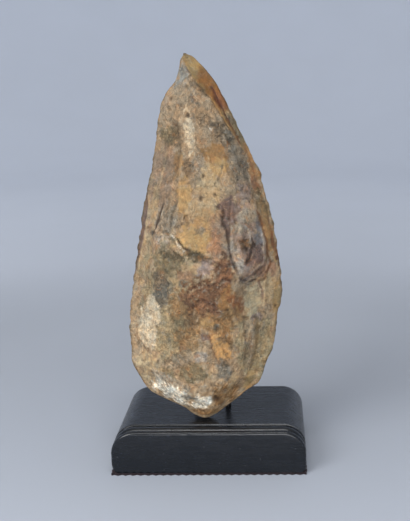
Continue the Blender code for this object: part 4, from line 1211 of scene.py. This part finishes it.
def stoneMaterial():
    made, tree, shader, place = newMaterial("knappedStone")
    look = stoneLook
    ground, fleck = (attribute(tree, name, "Color") for name in ("ground", "fleck"))
    density, grain, dullness, hollow = (
        attribute(tree, name) for name in ("density", "grain", "dullness", "hollow"))

    def byGrain(name):
        return mixValue(tree, grain, *look[name])

    wandering = stirred(tree, place, *look["swirl"])
    curly = stirred(tree, wandering, *look["curl"])
    patches = effect(tree, brokenMask, {"Vector": curly, "Mask": density, **look["patches"]})
    colour = blotched(tree, mixColour(tree, patches, ground, fleck), curly, grain)
    # drift of tone from broad clouds down to single grains
    clouds = centred(tree, noiseValue(tree, wandering, *look["clouds"]))
    tone = calc(tree, "ADD", 1.0, calc(tree, "MULTIPLY", clouds, byGrain("cloudTone")))
    colour = tinted(tree, colour, calc(tree, "MAXIMUM", look["cloudFloor"], tone))
    warmth = between(tree, noiseValue(tree, place, *look["warmth"]), *look["warmthEdge"])
    colour = tinted(tree, colour, mixColour(tree, warmth, look["cool"], look["warm"]))
    # the crust is darker where its bump sinks; small hollows of the mesh get painted shade and small ridges
    # a painted highlight, with dark brown painted shade in the deepest hollows
    crust = crustRelief(tree, place, curly)
    tone = calc(tree, "ADD", calc(tree, "MULTIPLY", crust, byGrain("crustTone")),
                calc(tree, "MULTIPLY", hollow, look["hollowTone"]))
    tone = calc(tree, "MAXIMUM", look["toneFloor"], calc(tree, "ADD", 1.0, tone))
    colour = tinted(tree, colour, tone)
    # painted shade: dark brown in the deepest hollows
    hollowDarkening = calc(tree, "MULTIPLY", between(tree, hollow, *look["hollowDarkeningEdge"]), byGrain("hollowDarkeningCover"))
    colour = mixColour(tree, hollowDarkening, colour, (*linear(look["hollowDarkening"]), 1))
    specks = effect(tree, grit, {"Vector": curly, "Amount": byGrain("speckAmount"), **look["specks"]})
    colour = mixColour(tree, calc(tree, "MULTIPLY", specks, look["speckCover"]), colour,
                       (*linear(look["speckColour"]), 1))
    rough = calc(tree, "ADD", dullness, calc(tree, "MULTIPLY", clouds, look["cloudRough"]))
    height = calc(tree, "MULTIPLY", crust, byGrain("bumpHeight"))
    feed(tree, shader, {"Base Color": colour, "Roughness": rough,
                        "Specular IOR Level": look["specular"],
                        "Normal": bumpNormal(tree, height, *look["bump"])})
    return made


handAxe = finishPiece("handAxe", axeMesh(), stoneMaterial(), "hand_axe")


# The plinth, in mm

block = {
    "width": 100.0, "depth": 60.0, "height": 22.3, "bottom": 1.2, "shoulder": 12.0, "footEase": 2.0,
    "frontRound": 1.5, "backRound": 1.0,
    "grooves": ((3.0, 1.5, 1.1), (9.5, 1.3, 0.9)),  # behind the front, width, depth
    "beadCrown": 1.4, "beadFullness": 2.5, "beadSteps": 10, "grooveSteps": 6, "roundSteps": 7,
    "spacing": 1.3, "footSteps": 4, "sideSteps": 8, "shoulderSteps": 20, "topSteps": 58,
    "waviness": 0.06, "waves": ((1.0, 16.0, 0.4), (0.35, 3.5, 7.4)),  # share, size, shift
    "holeRadius": 1.8, "holeDepth": 13.3, "holeX": 8.5, "holeY": 3.0, "holeSides": 40,
    # chips: place from the middle of the underside, radius, depth
    "chips": ((-11.0, -30.0, 22.2, 1.3, 0.35), (-6.0, -30.0, 20.4, 0.9, 0.25),
              (17.5, -29.5, 23.2, 1.2, 0.35), (-42.0, -30.0, 9.8, 1.0, 0.25),
              (33.0, -8.0, 23.5, 1.6, 0.25), (49.8, -29.4, 12.0, 0.9, 0.3)),
    "wornCorner": (-49.0, -29.0, 1.2, 3.2), "cornerWear": (0.6, 0.5, 0.0), "sharpDegrees": 50,
    "lacquer": {
        "clouds": (14.0, 3.0), "cloudEdge": (0.35, 0.65),
        "black": (0.0055, 0.0070, 0.0096, 1), "rubbed": (0.0072, 0.0086, 0.0114, 1),
        "wipes": (1.6, 4.0, 0.7), "wipeStretch": (0.12, 1.0, 1.0), "wipeRough": (0.3, 0.7, 0.20, 0.34),
        "dust": {"Spacing": 2.6, "Speck": 0.14, "Amount": 0.20}, "dustColour": (0.09, 0.09, 0.10, 1),
        "dustCover": 0.5, "dustRough": 0.3, "specular": 0.40, "ripples": (2.4, 2.0),
        "wipeHeight": 0.5,
        "bump": (0.25, 0.12),
    },
}


def archProfile(inset):
    # half of it from the foot up to the middle of the top, then its mirror image
    bottom, ease, shoulder = block["bottom"], block["footEase"], block["shoulder"] - inset
    half = block["width"] / 2 - inset
    top = bottom + block["height"] - inset
    sideTop, sideLow, sides = top - shoulder, bottom + ease, block["sideSteps"]
    profile = [(half - ease + ease * sine, bottom + ease - ease * cosine)
               for sine, cosine in quarterTurn(block["footSteps"])]
    profile += [(half, sideLow + (sideTop - sideLow) * step / sides) for step in range(1, sides)]
    profile += [(half - shoulder + shoulder * cosine, sideTop + shoulder * sine)
                for sine, cosine in quarterTurn(block["shoulderSteps"])]
    topHalf, count = half - shoulder, block["topSteps"]
    across = [(topHalf - 2 * topHalf * step / count, top) for step in range(1, count)]
    return profile + across + [(-x, z) for x, z in reversed(profile)]


def groove(middle, width, depth):
    turns = [math.pi * step / block["grooveSteps"] for step in range(1, block["grooveSteps"])]
    return [(middle - width / 2 * math.cos(turn), depth * math.sin(turn)) for turn in turns]


def moulding():
    # from front to back: how far behind the front, and how far inside the full profile
    atFront, atBack, turns = block["frontRound"], block["backRound"], quarterTurn(block["roundSteps"])
    stations = [(atFront * (1 - cosine), atFront * (1 - sine)) for sine, cosine in turns]
    front, rear = block["grooves"]
    beadStart, beadEnd = front[0] + front[1] / 2, rear[0] - rear[1] / 2
    stations += [(front[0] - front[1] / 2, 0.0), *groove(*front)]
    for step in range(block["beadSteps"] + 1):
        share = step / block["beadSteps"]
        stations.append((beadStart + share * (beadEnd - beadStart),
                         block["beadCrown"] * abs(2 * share - 1) ** block["beadFullness"]))
    start, flatEnd = rear[0] + rear[1] / 2, block["depth"] - atBack
    stations += [*groove(*rear), (start, 0.0)]
    count = int((flatEnd - start) / block["spacing"])
    stations += [(start + (flatEnd - start) * step / count, 0.0) for step in range(1, count)]
    return stations + [(flatEnd + atBack * sine, atBack * (1 - cosine)) for sine, cosine in turns]


def plinthMesh():
    loops = np.array([[(x, behind - block["depth"] / 2, z) for x, z in archProfile(inset)]
                      for behind, inset in moulding()])
    rings, around = loops.shape[:2]
    points = loops.reshape(-1, 3)
    outward = points - (0, 0, block["bottom"] + block["height"] / 2)
    outward[:, 1] *= 0.3
    outward /= np.linalg.norm(outward, axis=1)[:, None]
    # hand-rubbed waviness, then chips and the worn corner
    wave = block["waviness"] * sum(share * fractalNoise(points, size, 2, shift)
                                   for share, size, shift in block["waves"])
    above = softStep(0, 3, points[:, 2] - block["bottom"])
    points -= outward * (np.abs(wave) * above)[:, None]
    for px, py, pz, radius, depth in block["chips"]:
        away = np.linalg.norm(points - (px, py, pz), axis=1) / radius
        points -= outward * (depth * np.exp(-(away**2)))[:, None]
    px, py, pz, reach = block["wornCorner"]
    away = np.linalg.norm((points - (px, py, pz)) * (1, 1, 0.6), axis=1)
    points += np.array(block["cornerWear"]) * softStep(reach, 0, away)[:, None]

    faces = ringFaces(rings, around)
    faces.append(tuple(range(around))[::-1])
    faces.append(tuple(range((rings - 1) * around, rings * around)))
    mesh = newMesh("plinthBlock", (points * mm).tolist(), faces)
    shape = bmesh.new()
    shape.from_mesh(mesh)
    bmesh.ops.recalc_face_normals(shape, faces=shape.faces)
    shape.to_mesh(mesh)
    shape.free()
    return mesh


def drilledMesh(mesh):
    # the two holes of the prop, cut out of the top
    whole, drills = newObject("plinthWhole", mesh), []
    radius, top = block["holeRadius"] * mm, block["bottom"] + block["height"]
    for side in (-1, 1):
        shape = bmesh.new()
        spot = Vector((side * block["holeX"], block["holeY"], top)) * mm
        bmesh.ops.create_cone(shape, cap_ends=True, segments=block["holeSides"], radius1=radius,
                              radius2=radius, depth=2 * block["holeDepth"] * mm,
                              matrix=Matrix.Translation(spot))
        drill = newObject("drill", bpy.data.meshes.new("drill"))
        shape.to_mesh(drill.data)
        shape.free()
        hole = whole.modifiers.new("hole", "BOOLEAN")
        hole.operation = "DIFFERENCE"
        hole.object = drill
        drills.append(drill)
    result = plainMesh(whole)
    for old in (whole, *drills):
        bpy.data.objects.remove(old)
    return result


def lacquerMaterial():
    made, tree, shader, place = newMaterial("blackLacquer")
    look = block["lacquer"]
    cloud = between(tree, noiseValue(tree, place, *look["clouds"]), *look["cloudEdge"])
    along = addNode(tree, "ShaderNodeMapping", {"Vector": place, "Scale": look["wipeStretch"]})
    wipe = noiseValue(tree, along.outputs[0], *look["wipes"])
    dust = effect(tree, grit, {"Vector": place, **look["dust"]})
    colour = mixColour(tree, cloud, look["black"], look["rubbed"])
    colour = mixColour(tree, calc(tree, "MULTIPLY", dust, look["dustCover"]), colour,
                       look["dustColour"])
    rough = calc(tree, "ADD", between(tree, wipe, *look["wipeRough"]),
                 calc(tree, "MULTIPLY", dust, look["dustRough"]))
    height = calc(tree, "ADD", calc(tree, "MULTIPLY", wipe, look["wipeHeight"]),
                  noiseValue(tree, place, *look["ripples"]))
    feed(tree, shader, {"Base Color": colour, "Roughness": rough,
                        "Specular IOR Level": look["specular"],
                        "Normal": bumpNormal(tree, height, *look["bump"])})
    return made


plinthBlock = finishPiece("plinthBlock", drilledMesh(plinthMesh()), lacquerMaterial(), "plinth")
plinthBlock.data.set_sharp_from_angle(angle=math.radians(block["sharpDegrees"]))


# The prop, a rod bent as a hairpin, in mm

prop = {
    "diameter": 3.0, "spread": 17.0, "footY": 3.0, "height": 74.0, "socket": 13.0,
    "cornerRise": 2.5, "bendRadius": 9.0, "sides": 24, "legSteps": 14, "loopSteps": 28,
    "bendSteps": 10, "solverRounds": 40,
    "steel": {
        "blotches": (3.0, 4.0, 0.65), "blotchEdge": (0.35, 0.7), "blotchRough": (0.3, 0.7, 0.30, 0.52),
        "dark": (0.016, 0.016, 0.018, 1), "brown": (0.050, 0.045, 0.042, 1), "metallic": 0.9,
        "pores": (0.5, 3.0), "bump": (0.2, 0.05),
    },
}


def straightRun(lean):
    # what the bend at the foot takes off the leg, and the leg's straight length
    trim = prop["bendRadius"] * math.tan(lean / 2)
    return trim, (prop["height"] - prop["cornerRise"]) / math.cos(lean) - prop["spread"] / 2 - trim


def propLean():
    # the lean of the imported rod: its highest point lies over the far end of the loop
    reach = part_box("rear_prop")[1].y / mm - prop["footY"] - prop["diameter"] / 2
    lean = 0.2
    for _ in range(prop["solverRounds"]):
        across = straightRun(lean)[1] + prop["spread"] / 2
        end = prop["bendRadius"] * (1 - math.cos(lean)) + across * math.sin(lean)
        lean -= 0.5 * (end - reach) / prop["height"]
    return lean


def propRoute():
    lean, top = propLean(), block["bottom"] + block["height"]
    trim, run = straightRun(lean)
    footY, foot, bendLow = prop["footY"], top - prop["socket"], top + prop["cornerRise"] - trim
    leg = [(footY, foot), (footY, (foot + bendLow) / 2)]
    for step in range(prop["bendSteps"] + 1):
        turn = lean * step / prop["bendSteps"]
        leg.append((footY + prop["bendRadius"] * (1 - math.cos(turn)),
                    bendLow + prop["bendRadius"] * math.sin(turn)))
    startY, startZ = leg[-1]
    for step in range(1, prop["legSteps"] + 1):
        along = run * step / prop["legSteps"]
        leg.append((startY + along * math.sin(lean), startZ + along * math.cos(lean)))
    half, (topY, topZ) = prop["spread"] / 2, leg[-1]
    route = [(-half, y, z) for y, z in leg]
    for step in range(1, prop["loopSteps"]):
        turn = math.pi * step / prop["loopSteps"]
        lift = half * math.sin(turn)
        route.append((-half * math.cos(turn), topY + lift * math.sin(lean),
                      topZ + lift * math.cos(lean)))
    return route + [(half, y, z) for y, z in reversed(leg)]


def dressedEnd(tree, result, geometry, material):
    # the export drops instances, so the tree ends in real faces with their material
    real = addNode(tree, "GeometryNodeRealizeInstances", {"Geometry": geometry})
    dressed = addNode(tree, "GeometryNodeSetMaterial", {"Geometry": real.outputs[0],
                                                        "Material": material})
    feed(tree, result, {"Geometry": dressed.outputs[0]})


def rodTree(material):
    # sweeps a round rod along the route
    tree, given, result = newGroup("roundRod", "GeometryNodeTree", {
        "Geometry": ("NodeSocketGeometry", None), "Diameter": ("NodeSocketFloat", 0.003),
        "Sides": ("NodeSocketInt", 24),
    }, {"Geometry": "NodeSocketGeometry"})
    radius = calc(tree, "DIVIDE", given["Diameter"], 2.0)
    circle = addNode(tree, "GeometryNodeCurvePrimitiveCircle", {
        "Resolution": given["Sides"], "Radius": radius})
    rod = addNode(tree, "GeometryNodeCurveToMesh", {
        "Curve": given["Geometry"], "Profile Curve": circle.outputs[0], "Fill Caps": True})
    dressedEnd(tree, result, rod.outputs[0], material)
    return tree


def throughTree(source, tree, values):
    # the plain mesh that a Geometry Nodes tree makes of an object
    modifier = source.modifiers.new("nodes", "NODES")
    modifier.node_group = tree
    for item in tree.interface.items_tree:
        if item.in_out == "INPUT" and item.name in values:
            modifier[item.identifier] = values[item.name]
    mesh = plainMesh(source)
    source.modifiers.remove(modifier)
    bpy.data.objects.remove(source)
    return mesh


def steelMaterial():
    made, tree, shader, place = newMaterial("blackenedSteel")
    look = prop["steel"]
    blotch = noiseValue(tree, place, *look["blotches"])
    colour = mixColour(tree, between(tree, blotch, *look["blotchEdge"]), look["dark"], look["brown"])
    pores = noiseValue(tree, place, *look["pores"])
    feed(tree, shader, {"Base Color": colour, "Metallic": look["metallic"],
                        "Roughness": between(tree, blotch, *look["blotchRough"]),
                        "Normal": bumpNormal(tree, pores, *look["bump"])})
    return made


def propMesh(material):
    route = propRoute()
    curve = bpy.data.curves.new("propRoute", "CURVE")
    curve.dimensions = "3D"
    spline = curve.splines.new("POLY")
    spline.points.add(len(route) - 1)
    for point, spot in zip(spline.points, route):
        point.co = (*(value * mm for value in spot), 1)
    return throughTree(newObject("propRoute", curve), rodTree(material), {
        "Diameter": prop["diameter"] * mm, "Sides": prop["sides"]})


steel = steelMaterial()
rearProp = finishPiece("rearProp", propMesh(steel), steel, "rear_prop")


# The felt, with a pinked edge, in mm

felt = {
    "width": 101.2, "depth": 61.2, "thickness": 1.16, "pitch": 3.9, "toothDepth": 0.9,
    "round": 0.35, "sharpDegrees": 40,
    "cloth": {
        "fibres": (0.35, 4.0, 0.75, 1.5), "fibreEdge": (0.35, 0.68),
        "dark": (0.005, 0.0018, 0.003, 1), "maroon": (0.015, 0.0055, 0.0085, 1),
        "tufts": (1.6, 3.0, 0.6), "tuftTone": (0.3, 0.7, 0.8, 1.25), "roughness": 0.95,
        "nap": 0.08, "napTint": (0.75, 0.55, 0.62, 1), "bump": (0.6, 0.15),
    },
}


def feltTree(material):
    # a rectangle cut into teeth, every other point drawn inward, filled and made thick
    tree, given, result = newGroup("pinkedFelt", "GeometryNodeTree", {
        "Geometry": ("NodeSocketGeometry", None), "Width": ("NodeSocketFloat", 0.1),
        "Depth": ("NodeSocketFloat", 0.06), "Thickness": ("NodeSocketFloat", 0.001),
        "Teeth Across": ("NodeSocketInt", 26), "Teeth Deep": ("NodeSocketInt", 16),
        "Tooth Depth": ("NodeSocketFloat", 0.0009), "Rounding": ("NodeSocketFloat", 0.0003),
    }, {"Geometry": "NodeSocketGeometry"})
    sheet = addNode(tree, "GeometryNodeCurvePrimitiveQuadrilateral", {
        "Width": given["Width"], "Height": given["Depth"]})
    odd = calc(tree, "MODULO", addNode(tree, "GeometryNodeInputIndex").outputs[0], 2.0)
    teeth = mixValue(tree, odd, given["Teeth Across"], given["Teeth Deep"])
    cuts = calc(tree, "SUBTRACT", calc(tree, "MULTIPLY", teeth, 2.0), 1.0)
    cut = addNode(tree, "GeometryNodeSubdivideCurve", {"Curve": sheet.outputs[0], "Cuts": cuts})
    tangent = addNode(tree, "GeometryNodeInputTangent").outputs[0]
    inward = addNode(tree, "ShaderNodeVectorMath", {0: (0, 0, 1), 1: tangent},
                     operation="CROSS_PRODUCT").outputs[0]
    deep = calc(tree, "MULTIPLY", odd, given["Tooth Depth"])
    offset = addNode(tree, "ShaderNodeVectorMath", {0: inward, "Scale": deep}, operation="SCALE")
    pinked = addNode(tree, "GeometryNodeSetPosition", {"Geometry": cut.outputs[0],
                                                       "Offset": offset.outputs[0]})
    rounded = addNode(tree, "GeometryNodeFilletCurve", {
        "Curve": pinked.outputs[0], "Radius": given["Rounding"], "Limit Radius": True,
        "Count": 3}, mode="POLY")
    flat = addNode(tree, "GeometryNodeFillCurve", {"Curve": rounded.outputs[0]}, mode="NGONS")
    thick = addNode(tree, "GeometryNodeExtrudeMesh", {
        "Mesh": flat.outputs[0], "Offset": (0, 0, 1), "Offset Scale": given["Thickness"],
        "Individual": False})
    under = addNode(tree, "GeometryNodeFlipFaces", {"Mesh": flat.outputs[0]})
    joined = addNode(tree, "GeometryNodeJoinGeometry")
    for part in (thick, under):
        tree.links.new(part.outputs[0], joined.inputs[0])
    closed = addNode(tree, "GeometryNodeMergeByDistance", {"Geometry": joined.outputs[0],
                                                           "Distance": 0.00001})
    dressedEnd(tree, result, closed.outputs[0], material)
    return tree


def feltMaterial():
    made, tree, shader, place = newMaterial("maroonFelt")
    look = felt["cloth"]
    fibre = noiseValue(tree, place, *look["fibres"])
    tuft = noiseValue(tree, place, *look["tufts"])
    colour = mixColour(tree, between(tree, fibre, *look["fibreEdge"]), look["dark"], look["maroon"])
    feed(tree, shader, {"Base Color": tinted(tree, colour, between(tree, tuft, *look["tuftTone"])),
                        "Roughness": look["roughness"], "Sheen Weight": look["nap"],
                        "Sheen Tint": look["napTint"],
                        "Normal": bumpNormal(tree, fibre, *look["bump"])})
    return made


maroonFelt = feltMaterial()
feltSizes = {"Width": "width", "Depth": "depth", "Thickness": "thickness",
             "Tooth Depth": "toothDepth", "Rounding": "round"}
feltValues = {label: felt[size] * mm for label, size in feltSizes.items()}
feltValues["Teeth Across"] = round(felt["width"] / felt["pitch"])
feltValues["Teeth Deep"] = round(felt["depth"] / felt["pitch"])
feltSeed = newObject("feltSeed", bpy.data.meshes.new("feltSeed"))
feltPad = finishPiece("feltPad", throughTree(feltSeed, feltTree(maroonFelt), feltValues), maroonFelt,
                      "felt_pad")
feltPad.data.set_sharp_from_angle(angle=math.radians(felt["sharpDegrees"]))
